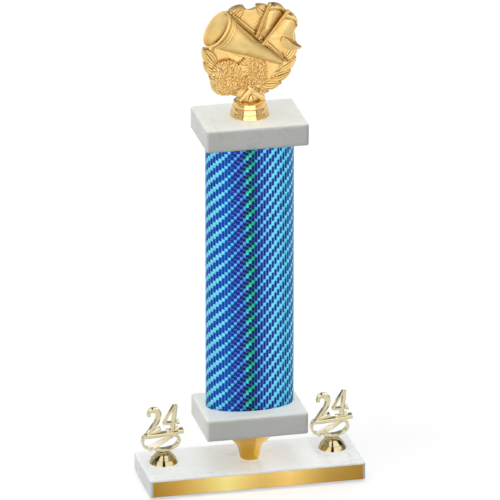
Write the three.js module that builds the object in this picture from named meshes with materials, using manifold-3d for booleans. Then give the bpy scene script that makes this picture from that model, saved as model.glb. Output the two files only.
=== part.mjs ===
// Cheerleading trophy: a marble base with two year trims and a nameplate, a flared riser cup, an oval
// column between two marble plates, and a megaphone medallion on a stepped dome. One threaded rod
// clamps the whole stack from a nut under the base to a nut inside the dome.
// Millimetres, +Z up, +X to the trophy's right as seen from the front, the front faces -Y.
// The origin is on the shelf, under the middle of the base.
import * as THREE from "three";
import { mergeVertices } from "three/addons/utils/BufferGeometryUtils.js";
import Module from "manifold-3d";

const wasm = await Module();
wasm.setup();

// ---- Driving dimensions ---------------------------------------------------------------------------
const GAP = 0.3; // between pieces that fit inside one another
const PAD = { r: 6, h: 1.5, inset: 13 };
const BASE = { w: 197, d: 70, h: 17, edge: 2 };
const PLATE = { w: 92.5, d: 67.5, h: 21, edge: 2 };
const RISER = { h: 31.5, foot: 8.5, rim: 27, wall: 1.25, bore: 4 };
const COLUMN = { w: 80, d: 40, h: 254, wall: 2 };
const PLUG = { h: 12, flange: 2 };
const ROD = { r: 3.175, hole: 4, below: 1, above: 6.5 }; // below: under the nut, above: into the dome
const ROD_WASHER = { r: 9.5, h: 1.5 };
const ROD_NUT = { flats: 11, h: 5.5 };
const ROD_SINK = { r: 12, h: 9 }; // counterbore under the base
const NAMEPLATE = { w: 192, h: 14, t: 0.5, tape: 0.25, drop: 0.25 };
const DOME = { top: 14.25, dish: 11.75, pocket: 6.75, web: 6.5, bore: 3.5, peg: 3.5 };
const TRIM = { x: 77.5, y: 6, r: 12.5, h: 9, bore: 2.75 };
const STUD = { r: 2.4, up: 7, below: 2 };
const STUD_WASHER = { r: 6, h: 1 };
const STUD_NUT = { flats: 8, h: 3.5 };
const STUD_SINK = { r: 8, h: 8 };
const MEDALLION = { up: 59.5, field: 37.5, face: -1.5, back: 3, peg: 3.25 }; // up: above the upper plate
const WREATH = { r: 36.5, leaf: 17, width: 9, face: -3, lean: 16, first: -66, step: 16, count: 10 };
const NOTCH = { r: 5.5, up: 43.5 };
const HORN = { bell: [-28, 19], mouth: [31.5, -14], r: 17.5, tip: 2.5, dish: 30, forward: 50, flat: 0.16 };

// Heights of the stack, from the shelf up.
const Z_BASE = PAD.h;
const Z_RISER = Z_BASE + BASE.h;
const Z_LOWER = Z_RISER + RISER.h;
const Z_COLUMN = Z_LOWER + PLATE.h;
const Z_UPPER = Z_COLUMN + COLUMN.h;
const Z_FIGURE = Z_UPPER + PLATE.h;

// ---- Materials ------------------------------------------------------------------------------------
const coat = (color, roughness, metalness) =>
  new THREE.MeshStandardMaterial({ color, roughness, metalness });
const BASE_MARBLE = coat(0xe9ebe9, 0.35, 0);
const PLATE_MARBLE = coat(0xe5e5dd, 0.4, 0);
const SATIN_GOLD = coat(0xdcb878, 0.35, 0.9);
const BRIGHT_GOLD = coat(0xe0cd8e, 0.12, 1);
const RISER_GOLD = coat(0xd9a93c, 0.3, 1);
const PLATE_GOLD = coat(0xd2a95a, 0.3, 1);
const FILM = coat(0x2f7fc0, 0.3, 0.4);
const ZINC = coat(0xb8bcc0, 0.35, 1);
const FELT = coat(0x24352c, 0.95, 0);
const TAPE = coat(0xf2efe2, 0.7, 0);
const PLASTIC = coat(0x1d1d20, 0.6, 0);

// ---- Solids ---------------------------------------------------------------------------------------
// A closed three.js geometry as a manifold-3d solid.
function solidOf(geometry) {
  const bare = new THREE.BufferGeometry();
  const flat = geometry.index ? geometry.toNonIndexed() : geometry;
  bare.setAttribute("position", flat.getAttribute("position").clone());
  const merged = mergeVertices(bare, 1e-3);
  return new wasm.Manifold(
    new wasm.Mesh({
      numProp: 3,
      vertProperties: merged.attributes.position.array,
      triVerts: new Uint32Array(merged.index.array),
    }),
  );
}

// A manifold-3d solid as a three.js geometry.
function geometryOf(solid) {
  const mesh = solid.getMesh();
  const positions = new Float32Array(mesh.numVert * 3);
  for (let i = 0; i < mesh.numVert; i++) {
    const at = i * mesh.numProp;
    positions.set(mesh.vertProperties.subarray(at, at + 3), i * 3);
  }
  const geometry = new THREE.BufferGeometry();
  geometry.setAttribute("position", new THREE.BufferAttribute(positions, 3));
  geometry.setIndex(new THREE.BufferAttribute(mesh.triVerts, 1));
  return geometry;
}

const joined = (geometries) => geometries.map(solidOf).reduce((a, b) => a.add(b));
const cut = (geometry, tools) => {
  const solid = tools.map(solidOf).reduce((a, b) => a.subtract(b), solidOf(geometry));
  return geometryOf(solid);
};

// An upright cylinder standing on z.
function post(r, h, x, y, z, sides = 32) {
  return new THREE.CylinderGeometry(r, r, h, sides).rotateX(Math.PI / 2).translate(x, y, z + h / 2);
}

// An upright washer standing on z.
function ring(outer, inner, h, x, y, z) {
  const shape = new THREE.Shape().absarc(0, 0, outer, 0, 2 * Math.PI);
  shape.holes.push(new THREE.Path().absarc(0, 0, inner, 0, 2 * Math.PI, true));
  const options = { depth: h, bevelEnabled: false, curveSegments: 16 };
  return new THREE.ExtrudeGeometry(shape, options).translate(x, y, z);
}

// A hexagon nut standing on z, with a plain bore.
function nut({ flats, h }, bore, x, y, z) {
  const body = new THREE.CylinderGeometry(flats / Math.sqrt(3), flats / Math.sqrt(3), h, 6);
  body.rotateX(Math.PI / 2).translate(x, y, z + h / 2);
  return cut(body, [post(bore, h + 2, x, y, z - 1)]);
}

// A solid of revolution about +Z from [radius, height] pairs that close on themselves.
function turned(profile, segments = 48) {
  const points = [...profile, profile[0]].map(([r, z]) => new THREE.Vector2(r, z));
  return new THREE.LatheGeometry(points, segments).rotateX(Math.PI / 2);
}

// A slab with all its edges rounded, standing on z.
function slab({ w, d, h, edge }, z) {
  const x = w / 2 - edge;
  const y = d / 2 - edge;
  const shape = new THREE.Shape();
  shape.moveTo(-x, -y);
  shape.lineTo(x, -y);
  shape.lineTo(x, y);
  shape.lineTo(-x, y);
  shape.closePath();
  const options = { depth: h - 2 * edge, bevelThickness: edge, bevelSize: edge, bevelSegments: 3 };
  return new THREE.ExtrudeGeometry(shape, options).translate(0, 0, z + edge);
}

// An upright oval prism standing on z. Its length runs along X.
function oval(w, d, h, z, bore) {
  const shape = new THREE.Shape().absellipse(0, 0, w / 2, d / 2, 0, 2 * Math.PI);
  if (bore) shape.holes.push(bore);
  const options = { depth: h, bevelEnabled: false, curveSegments: 32 };
  return new THREE.ExtrudeGeometry(shape, options).translate(0, 0, z);
}

// A flat shape drawn in X and Z, as thick as t, its front face at y.
function upright(shape, t, y, curveSegments = 8) {
  const options = { depth: t, bevelEnabled: false, curveSegments };
  return new THREE.ExtrudeGeometry(shape, options).rotateX(Math.PI / 2).translate(0, y + t, 0);
}

// The outline of a pen stroke of one width along a smooth path through [x, z] pairs.
function stroke(path, width, steps = 16) {
  const curve = path.length > 2
    ? new THREE.SplineCurve(path.map(([x, z]) => new THREE.Vector2(x, z)))
    : new THREE.LineCurve(new THREE.Vector2(...path[0]), new THREE.Vector2(...path[1]));
  const count = path.length > 2 ? steps : 1;
  const left = [];
  const right = [];
  for (let i = 0; i <= count; i++) {
    const p = curve.getPoint(i / count);
    const t = curve.getTangent(i / count).multiplyScalar(width / 2);
    left.push(new THREE.Vector2(p.x - t.y, p.y + t.x));
    right.unshift(new THREE.Vector2(p.x + t.y, p.y - t.x));
  }
  return new THREE.Shape([...left, ...right]);
}

const root = new THREE.Group();
root.name = "cheer_trophy";

function piece(name, geometry, material, parent = root) {
  const mesh = new THREE.Mesh(geometry, material);
  mesh.name = name;
  parent.add(mesh);
}

// ---- Base: slab, nameplate and felt pads ------------------------------------------------------------
const trims = [["left", -TRIM.x], ["right", TRIM.x]];

const baseHoles = [
  post(ROD.hole, BASE.h + 2, 0, 0, Z_BASE - 1),
  post(ROD_SINK.r, ROD_SINK.h + 1, 0, 0, Z_BASE - 1),
];
for (const [, x] of trims) {
  baseHoles.push(post(TRIM.bore, BASE.h + 2, x, TRIM.y, Z_BASE - 1));
  baseHoles.push(post(STUD_SINK.r, STUD_SINK.h + 1, x, TRIM.y, Z_BASE - 1));
}
piece("base_slab", cut(slab(BASE, Z_BASE), baseHoles), BASE_MARBLE);

// The strip is glued in the middle of the front face by a film of tape.
const plateZ = Z_BASE + BASE.h / 2 - NAMEPLATE.drop;
const strip = (t, y) => new THREE.BoxGeometry(NAMEPLATE.w, t, NAMEPLATE.h).translate(0, y - t / 2, plateZ);
piece("nameplate_tape", strip(NAMEPLATE.tape, -BASE.d / 2), TAPE);
piece("nameplate", strip(NAMEPLATE.t, -BASE.d / 2 - NAMEPLATE.tape), PLATE_GOLD);

for (const [side, sx] of [["left", -1], ["right", 1]]) {
  for (const [end, sy] of [["front", -1], ["rear", 1]]) {
    const x = sx * (BASE.w / 2 - PAD.inset);
    const y = sy * (BASE.d / 2 - PAD.inset);
    piece(`felt_pad_${end}_${side}`, post(PAD.r, PAD.h, x, y, 0, 24), FELT);
  }
}

// ---- Tie rod with its nut and washer ----------------------------------------------------------------
const sinkTop = Z_BASE + ROD_SINK.h;
const rodNutZ = sinkTop - ROD_WASHER.h - ROD_NUT.h;
const rodZ = rodNutZ - ROD.below;
piece("rod_washer", ring(ROD_WASHER.r, ROD.r + GAP, ROD_WASHER.h, 0, 0, sinkTop - ROD_WASHER.h), ZINC);
piece("rod_nut", nut(ROD_NUT, ROD.r + GAP, 0, 0, rodNutZ), ZINC);
piece("tie_rod", post(ROD.r, Z_FIGURE + ROD.above - rodZ, 0, 0, rodZ, 24), ZINC);

// ---- Riser cup --------------------------------------------------------------------------------------
// A spun trumpet shape: a narrow foot on the base and a wide rim under the lower plate.
function riserProfile() {
  const outside = new THREE.SplineCurve(
    [[RISER.foot, 0.75], [9.5, 6], [10.75, 10], [13, 14], [17, 19], [22, 25], [RISER.rim, RISER.h]]
      .map(([r, z]) => new THREE.Vector2(r, z)),
  ).getPoints(18);
  const inside = outside.slice(3).map((p) => [p.x - RISER.wall, p.y]).reverse();
  const floor = inside[inside.length - 1][1];
  return [
    [RISER.bore, 0],
    [RISER.foot - 0.75, 0],
    ...outside.map((p) => [p.x, p.y]),
    ...inside,
    [RISER.bore, floor],
  ];
}
const riser = turned(riserProfile());
piece("riser_cup", riser.translate(0, 0, Z_RISER), RISER_GOLD);

// ---- Plates and column ------------------------------------------------------------------------------
for (const [name, z] of [["lower_plate", Z_LOWER], ["upper_plate", Z_UPPER]]) {
  piece(name, cut(slab(PLATE, z), [post(ROD.hole, PLATE.h + 2, 0, 0, z - 1)]), PLATE_MARBLE);
}

const inner = { w: COLUMN.w - 2 * COLUMN.wall, d: COLUMN.d - 2 * COLUMN.wall };
const tubeBore = new THREE.Path().absellipse(0, 0, inner.w / 2, inner.d / 2, 0, 2 * Math.PI, true);
piece("column_tube", oval(COLUMN.w, COLUMN.d, COLUMN.h, Z_COLUMN, tubeBore), FILM);

// Moulded end plugs centre the tube on the rod: a floor against the plate and a wall up the tube.
function plug(name, z, floorZ) {
  const outside = oval(inner.w - 2 * GAP, inner.d - 2 * GAP, PLUG.h, z);
  const hollow = oval(inner.w - 8, inner.d - 8, PLUG.h, z + floorZ);
  const boss = post(7, PLUG.h, 0, 0, z);
  const bored = solidOf(outside).subtract(solidOf(hollow)).add(solidOf(boss));
  piece(name, geometryOf(bored.subtract(solidOf(post(ROD.hole, PLUG.h + 2, 0, 0, z - 1)))), PLASTIC);
}
plug("lower_column_plug", Z_COLUMN, PLUG.flange);
plug("upper_column_plug", Z_UPPER - PLUG.h, -PLUG.flange);

// ---- Figure: dome, nut and medallion ----------------------------------------------------------------
// Three bulging bands, each a little narrower than the one below, with a dished top.
function domeProfile() {
  const bands = [[17, 17.75, 16.9, 0, 4.75], [15.9, 16.6, 15.2, 4.75, 9.25], [14.5, 15, 12.6, 9.25, 13.75]];
  const outside = [];
  for (const [low, middle, high, z0, z1] of bands) {
    outside.push([low, z0], [middle, z0 + 0.3 * (z1 - z0)], [high, z1]);
  }
  return [
    [DOME.pocket, 0],
    ...outside,
    [12.1, DOME.top],
    [10.75, 13.75],
    [9, DOME.dish],
    [DOME.bore, DOME.dish],
    [DOME.bore, DOME.web],
    [DOME.pocket, DOME.web],
  ];
}
const figure = new THREE.Group();
figure.position.z = Z_FIGURE;
root.add(figure);
piece("figure_dome", turned(domeProfile()), SATIN_GOLD, figure);
piece("figure_nut", nut(ROD_NUT, ROD.r + GAP, 0, 0, DOME.web - ROD_NUT.h), ZINC, figure);

// An outline in X and Z as a solid from the face depth back to the flat back of the medallion.
const relief = (shape, face, curveSegments) => upright(shape, MEDALLION.back - face, face, curveSegments);

// A laurel leaf lying along the wreath and leaning outwards, its root at an angle on the circle.
function leaf(degrees, side) {
  const angle = THREE.MathUtils.degToRad(degrees);
  const lean = THREE.MathUtils.degToRad(WREATH.lean);
  const root = new THREE.Vector2(Math.cos(angle), Math.sin(angle)).multiplyScalar(WREATH.r);
  const along = new THREE.Vector2(-Math.sin(angle - lean), Math.cos(angle - lean));
  const across = new THREE.Vector2(along.y, -along.x);
  const at = (far, wide) => root.clone().addScaledVector(along, far).addScaledVector(across, wide);
  const half = WREATH.leaf / 2;
  const corners = [at(0, 0), at(half, WREATH.width), at(WREATH.leaf, 0), at(half, -WREATH.width)];
  const [start, right, tip, left] = corners.map((p) => new THREE.Vector2(p.x * side, p.y));
  const shape = new THREE.Shape();
  shape.moveTo(start.x, start.y);
  shape.quadraticCurveTo(right.x, right.y, tip.x, tip.y);
  shape.quadraticCurveTo(left.x, left.y, start.x, start.y);
  return relief(shape, WREATH.face, 5);
}

function wreath() {
  const leaves = [];
  for (const side of [-1, 1]) {
    for (let i = 0; i < WREATH.count; i++) leaves.push(leaf(WREATH.first + i * WREATH.step, side));
  }
  return leaves;
}

// The round field behind the picture, with a round notch between the top leaves.
function field() {
  const shape = new THREE.Shape();
  shape.moveTo(NOTCH.r, NOTCH.up);
  shape.absarc(0, NOTCH.up, NOTCH.r, 0, Math.PI, true);
  shape.absarc(0, 0, MEDALLION.field, Math.PI * 0.58, Math.PI * 2.42, false);
  shape.closePath();
  return relief(shape, MEDALLION.face, 24);
}

// The horn is a long cone with a dished bell, flattened towards the field, over a backing of its outline.
function megaphone() {
  const bell = new THREE.Vector3(HORN.bell[0], -HORN.forward, HORN.bell[1]);
  const mouth = new THREE.Vector3(HORN.mouth[0], 0, HORN.mouth[1]);
  const long = bell.distanceTo(mouth);
  const outline = [
    [0, 0], [HORN.tip, 0], [HORN.r - 1, long - 3], [HORN.r, long - 3], [HORN.r, long],
    [HORN.r - 1.5, long], [5, long - HORN.dish], [0, long - HORN.dish - 2],
  ];
  const cone = new THREE.LatheGeometry(outline.map(([r, y]) => new THREE.Vector2(r, y)), 40);
  const axis = bell.clone().sub(mouth).normalize();
  cone.applyQuaternion(new THREE.Quaternion().setFromUnitVectors(new THREE.Vector3(0, 1, 0), axis));
  cone.translate(mouth.x, mouth.y, mouth.z).scale(1, HORN.flat, 1);
  return solidOf(cone).add(solidOf(hornBacking(axis)));
}

function hornBacking(axis) {
  const flat = new THREE.Vector2(axis.x, axis.z);
  const squeeze = Math.abs(axis.y); // the bell's circle is seen at a slant
  const along = flat.clone().normalize();
  const across = new THREE.Vector2(-along.y, along.x);
  const mouth = new THREE.Vector2(...HORN.mouth);
  const bell = new THREE.Vector2(...HORN.bell);
  const rim = HORN.r - 1;
  const points = [HORN.tip, -HORN.tip].map((wide) => mouth.clone().addScaledVector(across, wide));
  for (let i = 0; i <= 12; i++) {
    const t = (i / 12 - 0.5) * Math.PI;
    const p = bell.clone().addScaledVector(along, rim * squeeze * Math.cos(t));
    points.push(p.addScaledVector(across, rim * Math.sin(t)));
  }
  return relief(new THREE.Shape(points), -HORN.forward * HORN.flat, 12);
}

// A pom-pom: a flattened ball of strands.
const ball = (x, z, rx, rz, thick) =>
  new THREE.SphereGeometry(1, 24, 16).scale(rx, thick, rz).translate(x, 0, z);

// Two pennants on sticks. The second hangs lower and folds back on itself.
function pennants() {
  const first = new THREE.Shape();
  first.moveTo(18.5, 42);
  first.quadraticCurveTo(28, 43, 32, 35);
  first.lineTo(20, 19.5);
  first.quadraticCurveTo(15, 21, 10, 17.5);
  first.closePath();
  const second = new THREE.Shape();
  second.moveTo(34.5, 34);
  second.quadraticCurveTo(43, 31, 43.5, 22);
  second.quadraticCurveTo(42, 15, 37, 9);
  second.quadraticCurveTo(27, 13, 17, 12);
  second.closePath();
  const tail = new THREE.Shape();
  tail.moveTo(31.5, 13);
  tail.lineTo(29, 4.5);
  tail.quadraticCurveTo(33, -2.5, 41, -3);
  tail.lineTo(47, -0.5);
  tail.quadraticCurveTo(41.5, 3, 38, 13);
  tail.closePath();
  return [
    relief(first, -5, 8),
    relief(second, -5.5, 8),
    relief(tail, -3.5, 8),
    relief(stroke([[17.5, 43.5], [5.5, 13.5]], 2.6), -6.5, 8),
    relief(stroke([[34, 35.5], [12, 6.5]], 2.6), -7, 8),
  ];
}

// The crossed ribbon at the foot of the wreath, on a solid root with a peg that stands in the dome.
function bow() {
  const seat = DOME.dish - MEDALLION.up;
  const root = new THREE.Shape();
  root.moveTo(-13, -34);
  root.quadraticCurveTo(-13, -43, -8, -45.5);
  root.lineTo(8, -45.5);
  root.quadraticCurveTo(14, -42, 15, -34);
  root.closePath();
  return [
    relief(root, -3, 8),
    relief(stroke([[10, -32], [-7, -46.5]], 3), -5.5, 8),
    relief(stroke([[-8, -32], [8, -46.5]], 3), -5.5, 8),
    post(8.5, 2.5, 0, 0, seat, 32),
    post(MEDALLION.peg, 5, 0, 0, seat - DOME.peg, 16),
  ];
}

function medallion() {
  const pieces = [
    field(),
    ...wreath(),
    ball(-22, -25, 16.5, 18.5, 10),
    ball(3, -24, 13, 15, 8.5),
    ...pennants(),
    ...bow(),
  ];
  const behind = new THREE.BoxGeometry(200, 40, 200).translate(0, MEDALLION.back + 20, 27);
  const whole = joined(pieces).add(megaphone()).subtract(solidOf(behind));
  return geometryOf(whole).translate(0, 0, MEDALLION.up);
}
piece("megaphone_medallion", medallion(), SATIN_GOLD, figure);

// ---- Year trims -------------------------------------------------------------------------------------
function trimDomeProfile() {
  return [
    [TRIM.bore, 0],
    [12, 0],
    [TRIM.r, 1],
    [11.75, 4.75],
    [11.25, 4.75],
    [10.5, 6.5],
    [8.25, 8.25],
    [5.25, TRIM.h],
    [TRIM.bore, TRIM.h],
  ];
}

// Two italic numerals on a ribbon that loops round under them, with a neck and peg below.
function yearFigure() {
  const two = [
    stroke([[-15.25, 45.5], [-13.5, 50], [-9, 51.75], [-5, 49], [-9.5, 36], [-14.75, 29]], 3.5),
    stroke([[-16.5, 28.5], [-2.75, 29.75]], 3.5),
    stroke([[-3.5, 29], [-2, 33.5]], 2.5),
  ];
  const four = [
    stroke([[12, 54], [0.25, 37]], 3),
    stroke([[-0.5, 36.5], [14.25, 37.75]], 3),
    stroke([[11.75, 55], [9, 29.5]], 3.5),
    stroke([[3, 29], [14.5, 30.25]], 2.75),
  ];
  const ribbon = [
    stroke([[-16, 26], [2, 26.25], [18.75, 28.25]], 2.5),
    stroke([[-15.5, 26], [-20, 22.5], [-18.25, 16], [-12, 13.5]], 2.5),
    stroke([[8, 26.5], [14, 22.5], [12, 16.5], [4, 13], [-4, 12.75], [-9, 14]], 2.75),
    stroke([[-15, 12.5], [-4, 19.5], [9, 26]], 3.5),
  ];
  const figures = [...two, ...four].map((shape) => upright(shape, 3.5, -1.75));
  const bands = ribbon.map((shape) => upright(shape, 5, -2.5));
  const neck = new THREE.CylinderGeometry(3.25, 4.25, 4.5, 24).rotateX(Math.PI / 2).translate(0, 0, 11.5);
  const peg = post(STUD.r, 2, 0, 0, TRIM.h - 1.75, 16);
  return geometryOf(joined([...figures, ...bands, neck, peg]));
}

for (const [side, x] of trims) {
  const trim = new THREE.Group();
  trim.position.set(x, TRIM.y, Z_RISER);
  root.add(trim);
  piece(`${side}_year_figure`, yearFigure(), BRIGHT_GOLD, trim);
  piece(`${side}_trim_dome`, turned(trimDomeProfile(), 32), BRIGHT_GOLD, trim);

  // Fastened from below: a stud out of the dome, a washer and a nut in the counterbore.
  const washerZ = STUD_SINK.h - BASE.h - STUD_WASHER.h;
  const nutZ = washerZ - STUD_NUT.h;
  const studZ = nutZ - STUD.below;
  piece(`${side}_trim_washer`, ring(STUD_WASHER.r, STUD.r + GAP, STUD_WASHER.h, 0, 0, washerZ), ZINC, trim);
  piece(`${side}_trim_nut`, nut(STUD_NUT, STUD.r + GAP, 0, 0, nutZ), ZINC, trim);
  piece(`${side}_trim_stud`, post(STUD.r, STUD.up - studZ, 0, 0, studZ, 16), ZINC, trim);
}

export default root;
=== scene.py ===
"""The looks of the cheerleading trophy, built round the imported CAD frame.

Lengths in this file are millimetres unless a name says otherwise. MM turns them into Blender's metres.
Pieces of the medallion and the year trims are drawn as seen from the front: u to the right, v up and
d towards the viewer, which is -Y in the frame.
"""

import math

import bmesh
import bpy
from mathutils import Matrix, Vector, noise


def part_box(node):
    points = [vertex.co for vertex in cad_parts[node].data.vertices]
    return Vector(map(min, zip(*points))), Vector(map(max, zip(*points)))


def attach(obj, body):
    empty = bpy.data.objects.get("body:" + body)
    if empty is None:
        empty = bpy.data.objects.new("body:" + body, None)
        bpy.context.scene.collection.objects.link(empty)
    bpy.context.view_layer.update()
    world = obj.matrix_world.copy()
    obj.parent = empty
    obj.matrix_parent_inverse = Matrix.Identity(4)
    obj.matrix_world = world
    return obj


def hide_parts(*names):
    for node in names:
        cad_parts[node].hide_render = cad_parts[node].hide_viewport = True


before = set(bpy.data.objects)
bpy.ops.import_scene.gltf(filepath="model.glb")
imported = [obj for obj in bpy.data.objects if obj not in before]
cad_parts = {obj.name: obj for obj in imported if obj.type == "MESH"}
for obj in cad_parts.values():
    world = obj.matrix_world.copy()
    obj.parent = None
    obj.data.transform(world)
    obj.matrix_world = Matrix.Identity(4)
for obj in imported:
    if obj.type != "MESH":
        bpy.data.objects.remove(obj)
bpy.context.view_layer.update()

MM = 0.001
TAU = 2 * math.pi


# ---- Places taken from the frame ----

def span(node):
    """A CAD node's lowest and highest corner in millimetres."""
    low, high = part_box(node)
    return Vector(low) / MM, Vector(high) / MM


BASE_LOW, BASE_HIGH = span("base_slab")
LOWER_LOW, LOWER_HIGH = span("lower_plate")
UPPER_LOW, UPPER_HIGH = span("upper_plate")
TUBE_LOW, TUBE_HIGH = span("column_tube")
WIDE = (TUBE_HIGH.x - TUBE_LOW.x) / 2  # the column's oval, halved
DEEP = (TUBE_HIGH.y - TUBE_LOW.y) / 2
RISER_LOW = span("riser_cup")[0]
DOME_LOW = span("figure_dome")[0]
NAMEPLATE_LOW, NAMEPLATE_HIGH = span("nameplate")
MEDALLION_HIGH = span("megaphone_medallion")[1]
TRIMS = {}
for trim_side in ("left", "right"):
    low, high = span(f"{trim_side}_trim_dome")
    TRIMS[trim_side] = Vector(((low.x + high.x) / 2, (low.y + high.y) / 2, low.z))

FIGURE_Z = DOME_LOW.z
MEDALLION_CENTRE = Vector((0, 0, FIGURE_Z + 59.5))


# ---- Mesh building ----

class Solids:
    """Gathers closed solids, in millimetres, and makes one mesh object of them."""

    def __init__(self):
        self.verts = []
        self.faces = []

    def add(self, verts, faces):
        first = len(self.verts)
        self.verts.extend(verts)
        self.faces.extend([tuple(first + i for i in face) for face in faces])

    def build(self, name, material, sharp_degrees=38):
        """Makes the mesh object. Its edges stay crisp where faces meet at more than sharp_degrees."""
        mesh = bpy.data.meshes.new(name)
        mesh.from_pydata([tuple(Vector(v) * MM) for v in self.verts], [], self.faces)
        work = bmesh.new()
        work.from_mesh(mesh)
        bmesh.ops.remove_doubles(work, verts=work.verts, dist=2e-6)
        bmesh.ops.dissolve_degenerate(work, edges=work.edges, dist=1e-6)
        bmesh.ops.recalc_face_normals(work, faces=work.faces)
        work.to_mesh(mesh)
        work.free()
        mesh.shade_smooth()
        mesh.set_sharp_from_angle(angle=math.radians(sharp_degrees))
        mesh.materials.append(material)
        obj = bpy.data.objects.new(name, mesh)
        bpy.context.scene.collection.objects.link(obj)
        return obj


def place(obj, body, node):
    """Ties a finished piece to its CAD body and the node that it stands for."""
    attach(obj, body)
    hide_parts(node)


def grid_faces(rows, columns, wrap_rows=False, wrap_columns=False):
    """Quads between the points of a grid that is stored row by row."""
    faces = []
    for i in range(rows if wrap_rows else rows - 1):
        for j in range(columns if wrap_columns else columns - 1):
            k = (i + 1) % rows
            m = (j + 1) % columns
            faces.append((i * columns + j, i * columns + m, k * columns + m, k * columns + j))
    return faces


def lathe(solids, profile, centre, segments=96):
    """A solid turned about an upright axis. Its outline is closed, or starts and ends on the axis."""
    open_ends = profile[0][0] == 0 and profile[-1][0] == 0
    verts = []
    for r, z in profile:
        for j in range(segments):
            a = TAU * j / segments
            verts.append((centre[0] + r * math.cos(a), centre[1] + r * math.sin(a), centre[2] + z))
    solids.add(verts, grid_faces(len(profile), segments, not open_ends, True))


def smooth_line(points, count):
    """A Catmull-Rom curve through points of any dimension, as count + 1 evenly numbered samples."""
    ends = [points[0], *points, points[-1]]
    samples = []
    for n in range(count + 1):
        position = n / count * (len(points) - 1)
        i = min(int(position), len(points) - 2)
        t = position - i
        a, b, c, d = ends[i:i + 4]
        samples.append(tuple(catmull_rom(t, *values) for values in zip(a, b, c, d)))
    return samples


def catmull_rom(t, p, q, r, s):
    square = 2 * p - 5 * q + 4 * r - s
    cube = 3 * q - p - 3 * r + s
    return 0.5 * (2 * q + (r - p) * t + square * t * t + cube * t ** 3)


def sweep(solids, path, section, to_frame, round_ends=True):
    """A bar along a path of (u, v, d, width, thickness), with a section of (across, deep) from -1 to 1."""
    rings = []
    count = len(path)
    for i, (u, v, d, width, thick) in enumerate(path):
        before = path[max(i - 1, 0)]
        after = path[min(i + 1, count - 1)]
        along = Vector((after[0] - before[0], after[1] - before[1])).normalized()
        across = Vector((-along.y, along.x))
        rings.append(((u, v, d), along, across, width / 2, thick / 2))
    if round_ends:
        rings = [*end_rings(rings[0], -1), *rings[1:-1], *reversed(end_rings(rings[-1], 1))]
    verts = []
    for (u, v, d), along, across, half, deep in rings:
        for a, b in section:
            verts.append(to_frame(u + across.x * a * half, v + across.y * a * half, d + b * deep))
    size = len(section)
    faces = grid_faces(len(rings), size, False, True)
    faces.append(tuple(range(size)))
    faces.append(tuple(range(len(verts) - size, len(verts))))
    solids.add(verts, faces)


def end_rings(ring, side, steps=4):
    """Rings that close a bar's end in a quarter circle, from its tip inwards."""
    (u, v, d), along, across, half, deep = ring
    rings = []
    for n in range(steps + 1):
        a = math.pi / 2 * (1 - n / steps) * 0.92
        reach = side * half * math.sin(a)
        shrink = math.cos(a)
        centre = (u + along.x * reach, v + along.y * reach, d)
        rings.append((centre, along, across, half * shrink, deep * (0.45 + 0.55 * shrink)))
    return rings


def grid(solids, surface, rows, columns, to_frame, rear_depth):
    """A solid under a curved face: surface(s, t) gives (u, v, d), with s and t from 0 to 1.

    rear_depth turns a point's depth into the depth of the back behind it.
    """
    points = [surface(i / (rows - 1), j / (columns - 1)) for i in range(rows) for j in range(columns)]
    front = [to_frame(*p) for p in points]
    rear = [to_frame(p[0], p[1], rear_depth(p[2])) for p in points]
    total = len(front)
    faces = grid_faces(rows, columns)
    faces += [tuple(total + i for i in reversed(face)) for face in grid_faces(rows, columns)]
    rim = [j for j in range(columns)]
    rim += [i * columns + columns - 1 for i in range(1, rows)]
    rim += [(rows - 1) * columns + j for j in range(columns - 2, -1, -1)]
    rim += [i * columns for i in range(rows - 2, 0, -1)]
    for i, here in enumerate(rim):
        following = rim[(i + 1) % len(rim)]
        faces.append((here, following, total + following, total + here))
    solids.add(front + rear, faces)


def patch(solids, surface, rows, columns, to_frame, back):
    """A solid between a curved face and a flat back."""
    grid(solids, surface, rows, columns, to_frame, lambda d: min(back, d - 0.2))


def rounded_box(solids, low, high, radius, wear, step=2.2):
    """A stone slab with rounded edges, worn a little unevenly where wear is above 0."""
    def stations(a, b):
        soft = [radius * (1 - math.cos(math.pi / 2 * n / 5)) for n in range(6)]
        inner = max(int((b - a - 2 * radius) / step), 1)
        flat = [a + radius + (b - a - 2 * radius) * n / inner for n in range(1, inner)]
        return [a + s for s in soft] + flat + [b - s for s in reversed(soft)]

    lines = [stations(low[k], high[k]) for k in range(3)]
    core_low = Vector(low) + Vector((radius,) * 3)
    core_high = Vector(high) - Vector((radius,) * 3)

    def shaped(p):
        core = Vector([min(max(p[k], core_low[k]), core_high[k]) for k in range(3)])
        away = Vector(p) - core
        if away.length < 1e-9:
            return p
        on_edges = sum(1 for k in range(3) if abs(away[k]) > 1e-6)
        # Keep the flats flat and pull only edges and corners onto the rounding.
        if on_edges > 1:
            chip = wear * max(noise.noise(Vector(p) * 0.35) + 0.35 * noise.noise(Vector(p) * 1.1), 0)
            away = away.normalized() * (radius - chip)
        return core + away

    for axis in range(3):
        first, second = [k for k in range(3) if k != axis]
        for side in (0, -1):
            verts = []
            for a in lines[first]:
                for b in lines[second]:
                    p = [0.0, 0.0, 0.0]
                    p[axis] = lines[axis][side]
                    p[first] = a
                    p[second] = b
                    verts.append(shaped(p))
            solids.add(verts, grid_faces(len(lines[first]), len(lines[second])))


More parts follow.
